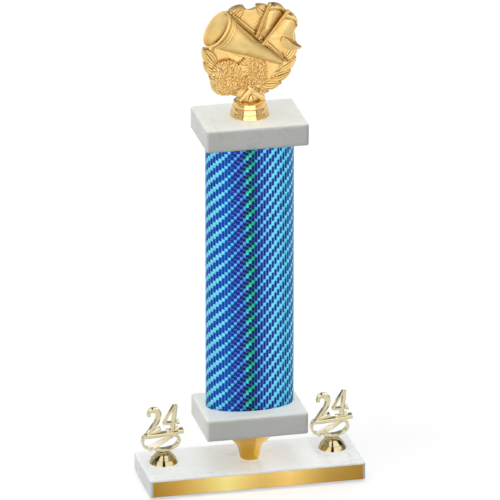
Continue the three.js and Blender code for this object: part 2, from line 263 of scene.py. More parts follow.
def drill(obj, holes):
    """Cuts upright round holes, each (x, y, radius, low, high), out of a piece."""
    tools = Solids()
    for x, y, r, low, high in holes:
        lathe(tools, [(0, low), (r, low), (r, high), (0, high)], (x, y, 0), 64)
    tool = tools.build(obj.name + "_drill", obj.data.materials[0])
    cut = obj.modifiers.new("drill", "BOOLEAN")
    cut.operation = "DIFFERENCE"
    cut.object = tool
    cut.solver = "EXACT"
    cut.use_self = True
    made = bpy.data.meshes.new_from_object(obj.evaluated_get(bpy.context.evaluated_depsgraph_get()))
    obj.modifiers.clear()
    obj.data = made
    made.set_sharp_from_angle(angle=math.radians(38))
    bpy.data.objects.remove(tool)


# ---- Material building ----

def srgb(r, g, b):
    """A colour given as 8-bit screen values, as the linear colour that a shader takes."""
    def linear(c):
        c /= 255
        return c / 12.92 if c <= 0.04045 else ((c + 0.055) / 1.055) ** 2.4
    return (linear(r), linear(g), linear(b), 1)


class Nodes:
    """A material's node tree with short calls for the nodes this file uses.

    Three numbers given as a colour are 8-bit screen values.
    """

    def __init__(self, name):
        self.material = bpy.data.materials.new(name)
        self.material.use_nodes = True
        self.tree = self.material.node_tree
        self.shader = self.tree.nodes["Principled BSDF"]
        self.place = self.node("ShaderNodeTexCoord").outputs["Object"]

    def node(self, kind, **settings):
        made = self.tree.nodes.new(kind)
        for key, value in settings.items():
            setattr(made, key, value)
        return made

    def put(self, socket, value):
        if isinstance(value, bpy.types.NodeSocket):
            self.tree.links.new(value, socket)
        elif isinstance(value, tuple) and len(value) == 3:
            socket.default_value = srgb(*value)
        else:
            socket.default_value = value

    def math(self, operation, *values):
        made = self.node("ShaderNodeMath", operation=operation)
        for socket, value in zip(made.inputs, values):
            self.put(socket, value)
        return made.outputs[0]

    def noise(self, scale, detail=3.0, roughness=0.5, vector=None, distortion=0.0):
        made = self.node("ShaderNodeTexNoise")
        self.put(made.inputs["Vector"], vector or self.place)
        made.inputs["Scale"].default_value = scale
        made.inputs["Detail"].default_value = detail
        made.inputs["Roughness"].default_value = roughness
        made.inputs["Distortion"].default_value = distortion
        return made.outputs["Fac"]

    def stretched(self, x, y, z):
        """The object's coordinates stretched along each axis."""
        made = self.node("ShaderNodeMapping")
        self.put(made.inputs["Vector"], self.place)
        made.inputs["Scale"].default_value = (x, y, z)
        return made.outputs["Vector"]

    def ramp(self, value, stops):
        """A colour ramp: each stop has its place from 0 to 1 and a colour or a grey number."""
        made = self.node("ShaderNodeValToRGB")
        elements = made.color_ramp.elements
        while len(elements) < len(stops):
            elements.new(0.5)
        for element, (position, colour) in zip(elements, stops):
            element.position = position
            element.color = srgb(*colour) if isinstance(colour, tuple) else grey(colour)
        self.put(made.inputs["Fac"], value)
        return made.outputs["Color"]

    def range(self, value, low, high, to_low, to_high):
        made = self.node("ShaderNodeMapRange")
        for socket, number in zip(made.inputs, (value, low, high, to_low, to_high)):
            self.put(socket, number)
        return made.outputs["Result"]

    def mix(self, factor, a, b, blend="MIX"):
        made = self.node("ShaderNodeMix", data_type="RGBA", blend_type=blend)
        self.put(made.inputs["Factor"], factor)
        self.put(made.inputs["A"], a)
        self.put(made.inputs["B"], b)
        return made.outputs["Result"]

    def bump(self, height, strength, distance_mm):
        made = self.node("ShaderNodeBump")
        made.inputs["Strength"].default_value = strength
        made.inputs["Distance"].default_value = distance_mm * MM
        self.put(made.inputs["Height"], height)
        return made.outputs["Normal"]

    def finish(self, **sockets):
        for name, value in sockets.items():
            self.put(self.shader.inputs[name.replace("_", " ").title().replace("Ior", "IOR")], value)
        return self.material


def grey(value):
    return (value, value, value, 1)


def marble(name, light, shade, vein, polish):
    """White marble: faint clouds, thin grey streaks that run one way, and a fine crystal grain."""
    m = Nodes(name)
    clouds = m.noise(16, 5, 0.55, distortion=0.4)
    body = m.ramp(clouds, [(0.32, shade), (0.6, light)])
    slant = m.node("ShaderNodeMapping")
    m.put(slant.inputs["Vector"], m.place)
    slant.inputs["Rotation"].default_value = (0.5, 0.35, 0.6)
    slant.inputs["Scale"].default_value = (1.0, 0.32, 1.0)
    warped = m.noise(24, 6, 0.6, slant.outputs["Vector"], 0.8)
    thin = m.math("ABSOLUTE", m.math("SUBTRACT", warped, 0.5))
    line = m.range(thin, 0.0, 0.02, 1.0, 0.0)
    broken = m.range(m.noise(14, 3), 0.45, 0.7, 0.0, 0.5)
    colour = m.mix(m.math("MULTIPLY", line, broken), body, vein)
    specks = m.range(m.noise(420, 2, 0.6), 0.6, 0.76, 0.0, 0.25)
    colour = m.mix(specks, colour, vein)
    rough = m.range(m.noise(60, 4), 0.3, 0.7, polish - 0.06, polish + 0.1)
    height = m.math("ADD", m.noise(900, 2), m.math("MULTIPLY", m.noise(160, 3), 1.6))
    normal = m.bump(height, 0.12, 0.12)
    return m.finish(base_color=colour, roughness=rough, normal=normal, specular_ior_level=0.35)


def gold(name, light, deep, rough, grain, grain_scale, upward_shade=0.0):
    """Metallised gold with painted shade: deeper in its hollows and lighter on its ridges, and, where the
    last argument is above 0, deeper on faces that look up.
    """
    m = Nodes(name)
    geometry = m.node("ShaderNodeNewGeometry")
    # Painted shade and highlight: the colour goes deep in hollows and light on ridges, by their pointiness.
    worn = m.range(geometry.outputs["Pointiness"], 0.46, 0.54, 0.0, 1.0)
    drift = m.range(m.noise(55, 3), 0.3, 0.7, -0.18, 0.18)
    colour = m.mix(m.math("ADD", worn, drift), deep, light)
    # Painted shade: faces that look up turn towards the deep colour, by the amount of the last argument.
    facing = m.node("ShaderNodeSeparateXYZ")
    m.put(facing.inputs[0], geometry.outputs["Normal"])
    colour = m.mix(m.range(facing.outputs["Z"], 0.06, 0.5, 0.0, upward_shade), colour, deep)
    smear = m.noise(120, 4, 0.6)
    roughness = m.range(smear, 0.3, 0.7, rough * 0.8, rough * 1.25)
    height = m.math("ADD", m.noise(grain_scale, 3, 0.6), m.math("MULTIPLY", m.noise(140, 2), 0.8))
    normal = m.bump(height, grain, 0.1)
    return m.finish(base_color=colour, roughness=roughness, normal=normal, metallic=1)


def brushed_gold_band(name):
    """The nameplate: long brush marks, and broad soft bands of painted reflection, in light and deep gold,
    along it.
    """
    m = Nodes(name)
    x = m.node("ShaderNodeSeparateXYZ")
    m.put(x.inputs[0], m.place)
    half = (NAMEPLATE_HIGH.x - NAMEPLATE_LOW.x) / 2 * MM
    along = m.range(x.outputs["X"], -half, half, 0.0, 1.0)
    # Painted reflection: bands of light and deep gold along the strip.
    bands = m.ramp(along, [
        (0.0, (160, 123, 49)), (0.12, (192, 152, 70)), (0.235, (217, 188, 106)),
        (0.35, (240, 224, 143)), (0.47, (224, 192, 113)), (0.53, (218, 182, 103)),
        (0.65, (240, 203, 118)), (0.76, (205, 169, 89)), (0.83, (180, 145, 70)),
        (1.0, (157, 120, 48)),
    ])
    marks = m.noise(90, 4, 0.7, m.stretched(0.35, 30, 34))
    colour = m.mix(m.range(marks, 0.3, 0.7, 0.0, 0.14), bands, (188, 146, 66))
    rough = m.range(marks, 0.3, 0.7, 0.3, 0.42)
    return m.finish(base_color=colour, roughness=rough, normal=m.bump(marks, 0.1, 0.05), metallic=1)


FILM_COLUMNS = 72  # cells round the oval
FILM_BEND = 0.165  # turns an angle on the 2 to 1 oval into a length along its edge
FILM_ROW = 2.795
FILM_REPEAT = 4  # rows from one bright cell to the next


def prismatic_film(name):
    """Blue prismatic film: a twill of small cells, whose tint drifts in upright bands round the oval. The
    blue is the film's own; the drift of tint across the bands is painted reflection of its rainbow sheen.

    The weave is counted along the oval's edge, so its cells are equally wide all round. Each column of
    cells stands one row higher than the one to its left.
    """
    m = Nodes(name)
    split = m.node("ShaderNodeSeparateXYZ")
    m.put(split.inputs[0], m.place)
    x = m.math("DIVIDE", split.outputs["X"], WIDE)
    y = m.math("DIVIDE", split.outputs["Y"], DEEP)
    angle = m.math("ARCTAN2", m.math("MULTIPLY", y, -1.0), x)
    # Across the front and again across the back: 0 at the left edge, 1 at the right edge.
    half_turns = m.math("FLOORED_MODULO", m.math("DIVIDE", angle, math.pi), 1.0)
    sway = m.math("MULTIPLY", m.math("SINE", m.math("MULTIPLY", split.outputs["Z"], 26.0)), 0.003)
    band = m.math("ADD", m.math("SUBTRACT", 1.0, half_turns), sway)

    bend = m.math("MULTIPLY", m.math("SINE", m.math("MULTIPLY", angle, 2.0)), FILM_BEND)
    length = m.math("SUBTRACT", angle, bend)
    across = m.math("MULTIPLY", length, -FILM_COLUMNS / TAU)
    up = m.math("DIVIDE", split.outputs["Z"], FILM_ROW * MM)
    column = m.math("FLOOR", across)
    off_x = m.math("ABSOLUTE", m.math("SUBTRACT", m.math("FRACT", across), 0.5))
    # Height above the foot of this column's nearest cell, in rows.
    above = m.math("FLOORED_MODULO", m.math("SUBTRACT", up, column), FILM_REPEAT)

    # Painted reflection: the tints of cells, threads and ground change in upright bands across the oval,
    # where the film's rainbow sheen would show.
    cell_top = m.ramp(band, [
        (0.0, (108, 210, 240)), (0.1, (132, 232, 242)), (0.27, (124, 226, 246)),
        (0.33, (96, 222, 245)), (0.38, (90, 190, 235)), (0.42, (80, 152, 226)),
        (0.45, (36, 198, 122)), (0.49, (28, 182, 84)), (0.51, (60, 190, 220)),
        (0.56, (110, 205, 245)), (0.62, (124, 228, 240)), (1.0, (130, 230, 242)),
    ])
    cell_foot = m.ramp(band, [
        (0.0, (100, 205, 238)), (0.25, (110, 215, 238)), (0.32, (36, 170, 150)),
        (0.37, (70, 100, 200)), (0.42, (72, 90, 195)), (0.45, (80, 215, 235)),
        (0.475, (60, 200, 170)), (0.5, (20, 150, 90)), (0.53, (70, 175, 235)),
        (0.62, (115, 220, 240)), (0.72, (80, 204, 240)), (0.76, (40, 160, 180)),
        (0.8, (110, 220, 238)), (1.0, (105, 212, 240)),
    ])
    ground = m.ramp(band, [
        (0.0, (26, 74, 164)), (0.12, (18, 58, 156)), (0.28, (16, 62, 156)),
        (0.35, (26, 42, 138)), (0.43, (24, 28, 96)), (0.5, (18, 22, 84)),
        (0.56, (30, 38, 128)), (0.66, (22, 42, 138)), (0.8, (14, 46, 142)),
        (1.0, (26, 70, 160)),
    ])
    thread_tint = m.ramp(band, [
        (0.0, (84, 156, 214)), (0.15, (74, 140, 206)), (0.28, (64, 124, 206)),
        (0.38, (76, 120, 200)), (0.45, (36, 120, 140)), (0.51, (60, 108, 180)),
        (0.58, (84, 140, 210)), (0.75, (96, 190, 228)), (1.0, (92, 180, 226)),
    ])
    # How tall the bright cells are, as a share of the repeat.
    share = m.ramp(band, [
        (0.0, 0.46), (0.2, 0.47), (0.28, 0.3), (0.36, 0.3), (0.45, 0.44),
        (0.5, 0.32), (0.525, 0.26), (0.6, 0.36), (0.68, 0.52), (0.74, 0.44),
        (0.82, 0.34), (1.0, 0.3),
    ])
    tall = m.math("MULTIPLY", share, FILM_REPEAT)
    centre = m.math("MULTIPLY", tall, 0.5)
    from_centre = m.math("ABSOLUTE", m.math("SUBTRACT", above, centre))
    edge = m.math("SUBTRACT", centre, from_centre)
    inside_y = m.range(edge, -0.12, 0.3, 0.0, 1.0)
    cell = m.math("MULTIPLY", inside_y, m.range(off_x, 0.5, 0.34, 0.55, 1.0))
    rise = m.range(m.math("DIVIDE", above, tall), 0.15, 0.8, 0.0, 1.0)
    bright = m.mix(rise, cell_foot, cell_top)

    # Between the cells: lighter upright threads, or left of the middle one thin level dash.
    thread = m.range(off_x, 0.27, 0.42, 0.0, 0.8)
    gap_centre = m.math("ADD", centre, FILM_REPEAT / 2)
    dash = m.range(m.math("ABSOLUTE", m.math("SUBTRACT", above, gap_centre)), 0.1, 0.3, 0.75, 0.0)
    from_middle = m.math("ABSOLUTE", m.math("SUBTRACT", band, 0.4))
    weave = m.mix(m.range(from_middle, 0.06, 0.12, 1.0, 0.0), thread, dash)
    patchy = m.range(m.noise(210, 3, 0.6, m.stretched(1.0, 1.0, 0.5)), 0.35, 0.65, 0.55, 1.2)
    colour = m.mix(m.math("MINIMUM", m.math("MULTIPLY", weave, patchy), 1.0), ground, thread_tint)
    glint = m.range(m.noise(430, 2, 0.6), 0.3, 0.7, 0.8, 1.1)
    colour = m.mix(m.math("MINIMUM", m.math("MULTIPLY", cell, glint), 1.0), colour, bright)
    rough = m.range(patchy, 0.55, 1.2, 0.34, 0.46)
    relief = m.bump(m.math("ADD", cell, m.math("MULTIPLY", weave, 0.4)), 0.1, 0.08)
    return m.finish(base_color=colour, roughness=rough, normal=relief, metallic=0.92)


def zinc(name):
    """Zinc-plated steel: bluish grey with a spangled plating and darker stains."""
    m = Nodes(name)
    spangle = m.node("ShaderNodeTexVoronoi")
    m.put(spangle.inputs["Vector"], m.place)
    spangle.inputs["Scale"].default_value = 900
    stain = m.noise(160, 4)
    colour = m.ramp(stain, [(0.3, (150, 154, 156)), (0.7, (206, 210, 214))])
    rough = m.range(spangle.outputs["Distance"], 0.0, 0.8, 0.24, 0.42)
    return m.finish(base_color=colour, roughness=rough, normal=m.bump(stain, 0.15, 0.05), metallic=1)


def felt(name):
    """Dark green felt: matted fibres and a soft sheen."""
    m = Nodes(name)
    fibres = m.noise(1500, 4, 0.75, m.stretched(1, 1, 0.5), 2.5)
    colour = m.ramp(fibres, [(0.35, (24, 38, 30)), (0.65, (56, 78, 64))])
    normal = m.bump(fibres, 0.6, 0.25)
    return m.finish(base_color=colour, roughness=0.95, normal=normal, sheen_weight=0.5)


def moulded_black(name):
    """Black moulded plastic with a fine texture."""
    m = Nodes(name)
    texture = m.noise(1100, 3)
    colour = m.ramp(m.noise(40, 3), [(0.3, (20, 20, 23)), (0.7, (38, 38, 42))])
    rough = m.range(texture, 0.3, 0.7, 0.45, 0.65)
    return m.finish(base_color=colour, roughness=rough, normal=m.bump(texture, 0.25, 0.06))


def tape_film(name):
    """Cream adhesive tape with small trapped bubbles."""
    m = Nodes(name)
    bubbles = m.noise(500, 3)
    colour = m.ramp(bubbles, [(0.4, (240, 236, 220)), (0.7, (214, 206, 180))])
    return m.finish(base_color=colour, roughness=0.6, normal=m.bump(bubbles, 0.3, 0.05))


BASE_MARBLE = marble("base_marble", (235, 237, 237), (226, 229, 229), (196, 201, 203), 0.3)
PLATE_MARBLE = marble("plate_marble", (231, 232, 227), (222, 224, 218), (194, 196, 190), 0.34)
# The last number of a gold, where given, is painted shade on faces that look up.
FIGURE_GOLD = gold("figure_gold", (238, 209, 144), (180, 134, 62), 0.32, 0.22, 1500, 0.25)
HORN_GOLD = gold("figure_gold_horn", (240, 212, 148), (168, 130, 64), 0.3, 0.14, 1500, 0.9)
FIELD_GOLD = gold("figure_gold_field", (250, 220, 154), (206, 160, 86), 0.42, 0.7, 1100)
POMPOM_GOLD = gold("figure_gold_foil", (248, 222, 158), (202, 156, 86), 0.36, 0.2, 1300)
DOME_GOLD = gold("figure_gold_dome", (248, 218, 152), (206, 160, 88), 0.12, 0.05, 700)
TRIM_GOLD = gold("trim_gold", (212, 202, 166), (168, 146, 94), 0.07, 0.03, 600)
FROSTED_GOLD = gold("trim_gold_frosted", (250, 247, 232), (214, 200, 158), 0.3, 0.3, 1400)
RISER_GOLD = gold("riser_gold", (240, 196, 84), (186, 138, 44), 0.24, 0.08, 600)
NAMEPLATE_GOLD = brushed_gold_band("nameplate_gold")
FILM = prismatic_film("column_film")
ZINC = zinc("zinc_steel")
FELT = felt("felt")
BLACK_PLASTIC = moulded_black("black_plastic")
TAPE = tape_film("tape")


# ---- Base ----

ROD_HOLE_R = 4.0
ROD_SINK_R, ROD_SINK_H = 12.0, 9.0
TRIM_HOLE_R = 2.75
TRIM_SINK_R, TRIM_SINK_H = 8.0, 8.0


def make_base_slab():
    solids = Solids()
    rounded_box(solids, BASE_LOW, BASE_HIGH, 2.0, 0.35)
    slab = solids.build("base_stone", BASE_MARBLE)
    low, high = BASE_LOW.z, BASE_HIGH.z
    holes = [(0, 0, ROD_HOLE_R, low - 1, high + 1), (0, 0, ROD_SINK_R, low - 1, low + ROD_SINK_H)]
    for trim in TRIMS.values():
        holes.append((trim.x, trim.y, TRIM_HOLE_R, low - 1, high + 1))
        holes.append((trim.x, trim.y, TRIM_SINK_R, low - 1, low + TRIM_SINK_H))
    for hole in holes:
        drill(slab, [hole])
    place(slab, "stand", "base_slab")


def make_plate(name, node, low, high):
    solids = Solids()
    rounded_box(solids, low, high, 2.2, 0.4)
    plate = solids.build(name, PLATE_MARBLE)
    drill(plate, [(0, 0, ROD_HOLE_R, low.z - 1, high.z + 1)])
    place(plate, "stand", node)


def make_nameplate():
    solids = Solids()
    low, high = NAMEPLATE_LOW, NAMEPLATE_HIGH
    rounded_box(solids, low, high, 0.2, 0.0, 6.0)
    place(solids.build("nameplate_strip", NAMEPLATE_GOLD), "stand", "nameplate")


def make_felt_pads():
    for end in ("front", "rear"):
        for side in ("left", "right"):
            node = f"felt_pad_{end}_{side}"
            low, high = span(node)
            centre = ((low.x + high.x) / 2, (low.y + high.y) / 2, 0)
            r = (high.x - low.x) / 2
            top = high.z
            solids = Solids()
            outline = [(0, 0), (r * 0.35, 0), (r * 0.7, 0), (r - 0.5, 0), (r - 0.1, 0.3), (r, 0.75)]
            outline += [(r - 0.1, top - 0.25), (r - 0.4, top), (0, top)]
            lathe(solids, outline, centre, 72)
            verts = []
            for v in solids.verts:
                p = Vector(v)
                fuzz = 0.22 * noise.noise(p * 1.7)
                away = Vector((p.x - centre[0], p.y - centre[1], 0))
                if away.length > r - 0.6:
                    p += away.normalized() * fuzz
                verts.append(tuple(p))
            solids.verts = verts
            pad = solids.build(f"felt_disc_{end}_{side}", FELT)
            place(pad, "stand", node)


# ---- Fasteners ----

def threaded_rod(name, node, body, pitch, ends=0.8):
    """A rod with its thread cut as a helix and its ends chamfered."""
    low, high = span(node)
    x, y = (low.x + high.x) / 2, (low.y + high.y) / 2
    r = (high.x - low.x) / 2
    around, per_turn = 20, 5
    rows = int((high.z - low.z) / pitch * per_turn)
    verts = [(x, y, low.z)] * around
    for i in range(rows + 1):
        z = low.z + (high.z - low.z) * i / rows
        inset = max(0.0, ends - min(z - low.z, high.z - z)) * 0.7
        for j in range(around):
            turn = (i / per_turn + j / around) % 1
            cut = abs(turn - 0.5) * 2 * pitch * 0.5
            a = TAU * j / around
            reach = max(r - max(cut, inset), r * 0.55)
            verts.append((x + reach * math.cos(a), y + reach * math.sin(a), z))
    verts += [(x, y, high.z)] * around
    solids = Solids()
    solids.add(verts, grid_faces(rows + 3, around, False, True))
    place(solids.build(name, ZINC, 70), body, node)


def hex_nut(name, node, body, bore):
    """A hexagon nut with chamfered corners and a lead-in at its bore."""
    low, high = span(node)
    x, y = (low.x + high.x) / 2, (low.y + high.y) / 2
    flats = min(high.x - low.x, high.y - low.y) / 2
    corner_first = 0 if high.x - low.x > high.y - low.y else math.pi / 6
    h = high.z - low.z
    rim = flats * 1.02
    segments = 72

    def hexagon(a):
        step = (a - corner_first) % (math.pi / 3)
        return flats / math.cos(step - math.pi / 6)

    levels = [(bore + 0.4, 0), (rim, 0), (None, 0.1 * h), (None, 0.9 * h), (rim, h), (bore + 0.4, h)]
    levels += [(bore, h - 0.4), (bore, 0.4)]
    verts = []
    for r, z in levels:
        for j in range(segments):
            a = TAU * j / segments
            reach = hexagon(a) if r is None else min(r, hexagon(a))
            verts.append((x + reach * math.cos(a), y + reach * math.sin(a), low.z + z))
    solids = Solids()
    solids.add(verts, grid_faces(len(levels), segments, True, True))
    place(solids.build(name, ZINC, 25), body, node)


def flat_washer(name, node, body, bore):
    low, high = span(node)
    centre = ((low.x + high.x) / 2, (low.y + high.y) / 2, low.z)
    r = (high.x - low.x) / 2
    h = high.z - low.z
    e = 0.2  # the edges' rounding
    outline = [(bore, e), (bore + e, 0), (r - e, 0), (r, e)]
    outline += [(r, h - e), (r - e, h), (bore + e, h), (bore, h - e)]
    solids = Solids()
    lathe(solids, outline, centre, 72)
    place(solids.build(name, ZINC, 30), body, node)


def make_fasteners():
    threaded_rod("threaded_tie_rod", "tie_rod", "stand", 1.27)
    hex_nut("hex_nut_rod", "rod_nut", "stand", 3.45)
    flat_washer("flat_washer_rod", "rod_washer", "stand", 3.45)
    hex_nut("hex_nut_figure", "figure_nut", "figure", 3.45)
    for side in TRIMS:
        threaded_rod(f"threaded_stud_{side}", f"{side}_trim_stud", f"{side}_trim", 0.9)
        hex_nut(f"hex_nut_{side}", f"{side}_trim_nut", "stand", 2.7)
        flat_washer(f"flat_washer_{side}", f"{side}_trim_washer", "stand", 2.7)


# ---- Riser cup and column ----

RISER_KNOTS = [(8.2, 0.25), (8.9, 1.6), (9.4, 5), (10.3, 9), (12.4, 13.5), (16.6, 18.5), (21.8, 24.5),
               (27, 31.2)]


def make_riser():
    """A spun trumpet with a rolled foot and a thin lip under the plate."""
    outside = smooth_line(RISER_KNOTS, 56)
    wall = 1.25
    inside = [(max(r - wall, 4.2), z) for r, z in outside if z > 3]
    floor = inside[0][1]
    outline = [(4.2, 0.0), (7.4, 0.0), *outside, (26.9, 31.5), (25.7, 31.5)]
    outline += [*reversed(inside), (4.2, floor)]
    solids = Solids()
    lathe(solids, outline, (0, 0, RISER_LOW.z), 128)
    place(solids.build("riser_trumpet", RISER_GOLD, 45), "stand", "riser_cup")


OVERLAP_HALF = 5.0  # half the width of the film's overlap at the back
OVERLAP_INSET = 0.4


def oval_ring(solids, grow_out, grow_in, low, high, segments=160):
    """An oval tube between two outlines that stand grow_out and grow_in outside the column's own."""
    edge = min(0.3, (grow_out - grow_in) * 0.4)
    steps = 12
    rows = [(grow_in, low + edge), (grow_in + edge, low), (grow_out - edge, low)]
    rows += [(grow_out, low + edge + (high - low - 2 * edge) * i / steps) for i in range(steps + 1)]
    rows += [(grow_out - edge, high), (grow_in + edge, high), (grow_in, high - edge)]
    verts = []
    for grow, z in rows:
        for j in range(segments):
            t = TAU * j / segments
            verts.append(((WIDE + grow) * math.cos(t), (DEEP + grow) * math.sin(t), z))
    solids.add(verts, grid_faces(len(rows), segments, True, True))


def make_column():
    low, high = TUBE_LOW.z, TUBE_HIGH.z
    wall = Solids()
    oval_ring(wall, -0.12, -2.0, low, high)
    place(wall.build("column_wall", BLACK_PLASTIC), "stand", "column_tube")
    film = Solids()
    oval_ring(film, 0.0, -0.1, low + 0.3, high - 0.3)
    place(film.build("column_film_wrap", FILM), "stand", "column_tube")

    def on_back(u, v, d):
        return (u, DEEP * math.sqrt(1 - (u / WIDE) ** 2) + d, v)

    def overlap(s, t):
        """A narrow second layer of film down the middle of the back, thinner at its edges."""
        height = low + OVERLAP_INSET + (high - low - 2 * OVERLAP_INSET) * s
        return (OVERLAP_HALF * (2 * t - 1), height, 0.14 if 0 < t < 1 else 0.07)

    def first_layer(d):
        """The layer below it, which also stands a little higher at the two edges."""
        return 0.02 if d > 0.1 else 0.03

    seam = Solids()
    grid(seam, overlap, 2, 13, on_back, first_layer)
    place(seam.build("column_film_overlap", FILM), "stand", "column_tube")


# ---- Figure dome ----

def bulge(r0, r1, z0, z1, out, steps=9):
    """The outline of a band that bulges between two radii and heights."""
    points = []
    for i in range(steps + 1):
        t = i / steps
        points.append((r0 + (r1 - r0) * t + out * math.sin(math.pi * t), z0 + (z1 - z0) * t))
    return points


DOME_SEAT = 11.75  # the height of the hollow's floor, where the medallion's foot sits
DOME_BANDS = [(17.5, 16.6, 0.5, 4.4), (16.3, 15.4, 5.1, 8.9), (15.0, 14.3, 9.6, 13.4)]


def make_figure_dome():
    """Three steep bands, so that each one mirrors the room in front of it, with narrow grooves between."""
    outline = [(6.75, 0.0), (16.9, 0.0)]
    for foot_r, top_r, low, high in DOME_BANDS:
        outline.append((foot_r - 0.5, low - 0.2))
        outline += bulge(foot_r, top_r, low, high, 0.06)
        outline.append((top_r - 0.45, high + 0.3))
    outline += [(12.7, 14.1), (11.5, 14.2), (10.8, 13.7), (9.6, 12.2), (9.0, DOME_SEAT), (3.5, DOME_SEAT)]
    outline += [(3.5, 6.5), (6.75, 6.5)]
    solids = Solids()
    lathe(solids, outline, (0, 0, FIGURE_Z), 128)
    place(solids.build("stepped_dome", DOME_GOLD, 32), "figure", "figure_dome")


# ---- Medallion ----

def on_medallion(u, v, d):
    return (u, -d, MEDALLION_CENTRE.z + v)


def figure_piece(solids, name, material, sharp_degrees):
    """Finishes one piece of the medallion."""
    place(solids.build(name, material, sharp_degrees), "figure", "megaphone_medallion")


FLAT_BACK = -MEDALLION_HIGH.y  # the depth of the medallion's back, which faces away from the viewer
# Each kind of piece ends a hair inside the field's back, so that no two faces lie in one plane.
LEAF_BACK = FLAT_BACK + 0.2
HORN_BACK = FLAT_BACK + 1.0
POMPOM_BACK = FLAT_BACK + 0.9
CLOTH_BACK = FLAT_BACK + 1.1
TIE_BACK = FLAT_BACK + 0.7
FIELD_R = 37.5
FIELD_FACE = 1.5
NOTCH = (0.2, 44.0, 5.4)  # u, v, radius
ROUND_BAR = [(math.cos(TAU * i / 12), math.sin(TAU * i / 12)) for i in range(12)]
BLOCK_BAR = [(-1, -1), (1, -1), (1, 0.55), (0.75, 1), (-0.75, 1), (-1, 0.55)]


def field_edge(angle):
    """How far the field reaches at an angle: a circle, cut by the notch between the top leaves."""
    reach = FIELD_R
    off_top = abs((angle - math.pi / 2 + math.pi) % TAU - math.pi)
    if off_top < math.radians(16):
        reach = 40.6 - 0.25 * math.degrees(off_top) ** 0.9 + 1.0
    direction = Vector((math.cos(angle), math.sin(angle)))
    centre = Vector(NOTCH[:2])
    along = direction.dot(centre)
    beside = centre.length_squared - along * along
    if along > 0 and beside < NOTCH[2] ** 2:
        reach = min(reach, along - math.sqrt(NOTCH[2] ** 2 - beside))
    return reach


def make_field():
    """The stippled plate behind the picture."""
    rings, around = 74, 420
    front, rear = [], []
    for i in range(rings + 1):
        share = i / rings
        for j in range(around):
            angle = TAU * j / around
            r = field_edge(angle) * share
            u, v = r * math.cos(angle), r * math.sin(angle)
            stipple = noise.noise(Vector((u, v, 0)) * 1.15) + 0.6 * noise.noise(Vector((u, v, 9)) * 2.1)
            d = FIELD_FACE + 0.26 * stipple
            if i == rings:
                d -= 0.4
            front.append(on_medallion(u, v, d))
            if i in (0, rings):
                rear.append(on_medallion(u, v, FLAT_BACK))
    faces = grid_faces(rings + 1, around, False, True)
    first = len(front)
    for j in range(around):
        k = (j + 1) % around
        faces.append((rings * around + j, rings * around + k, first + around + k, first + around + j))
        faces.append((first + j, first + around + j, first + around + k, first + k))
    solids = Solids()
    solids.add(front + rear, faces)
    figure_piece(solids, "medallion_field", FIELD_GOLD, 50)


def leaf(solids, tip, degrees, length, width, lift, bend, side, back):
    """A broad laurel leaf with a grooved midrib and ridges.

    degrees is the way that it points, and a side of -1 mirrors it.
    """
    a = math.radians(degrees)
    along = Vector((math.cos(a), math.sin(a)))
    across = Vector((-along.y, along.x))
    root = Vector(tip) - along * length

    def surface(s, t):
        t = 2 * t - 1
        half = width / 2 * math.sin(math.pi * s ** 0.8) ** 0.7 if 0 < s < 1 else 0
        centre = root + along * (length * s) + across * (bend * math.sin(math.pi * s))
        p = centre + across * (half * t)
        body = math.sin(math.pi * min(max(s, 0.03), 0.97)) ** 0.3
        crown = (1 - abs(t) ** 4) * body
        ridges = -0.26 * math.cos(5 * math.pi * t) * body * (1 - abs(t) ** 8)
        groove = 0.3 * math.exp(-(t / 0.08) ** 2) * body
        return (side * p.x, p.y, lift + 1.5 * crown + ridges - groove)

    patch(solids, surface, 22, 29, on_medallion, back)


WREATH_STEP = 18.6
WREATH_FIRST = -66.0
WREATH_LEAVES = 9
TIP_R = 42.4
HIDDEN_LEAVES = {-1: (5, 6), 1: (6, 7)}  # those that the bell and the pennants would cover
SHORT_LEAF = (-1, 7)  # this one's root would show inside the bell


def make_wreath():
    """A row of overlapping leaves up each side, and the narrow stem that bounds the field."""
    solids = Solids()
    for side in (1, -1):
        for i in range(WREATH_LEAVES):
            if i in HIDDEN_LEAVES[side]:
                continue
            at = WREATH_FIRST + WREATH_STEP * i
            top = i == WREATH_LEAVES - 1
            reach = TIP_R + (1.0 if top else 0)
            tip = (reach * math.cos(math.radians(at)), reach * math.sin(math.radians(at)))
            lean = 36 if top else 44
            length, lift = (13.0, 0.4) if (side, i) == SHORT_LEAF else (19.0, 0.8 + 0.16 * i)
            back = LEAF_BACK + 0.12 * (i % 3) + 0.06 * side
            leaf(solids, tip, at + 90 - lean, length, 12.4, lift, -0.3, side, back)
        for radius, proud in ((33.0, 1.7), (34.4, 1.3)):
            stem = []
            for i in range(48):
                at = math.radians(-80 + 150 * i / 47)
                stem.append((side * radius * math.cos(at), radius * math.sin(at), proud, 0.9, 2.6))
            sweep(solids, stem, ROUND_BAR, on_medallion)
    figure_piece(solids, "medallion_wreath", FIGURE_GOLD, 60)


# The megaphone's axis, from its mouthpiece to its bell, as seen from the front.
MOUTH = Vector((30.6, -12.4))
BELL = Vector((-31.6, 25.6))
LEAN = math.radians(25)  # how far the bell end leans towards the viewer, before the relief is flattened
AXIS_FLATTEN = 0.13
BELL_FLATTEN = 0.24
BODY_FLATTEN = 0.4  # how much rounder the body is than the bell
AXIS_D = 2.2
BELL_R = 17.4
MOUTH_R = 2.3
BOWL = 13  # how deep the bell is hollow


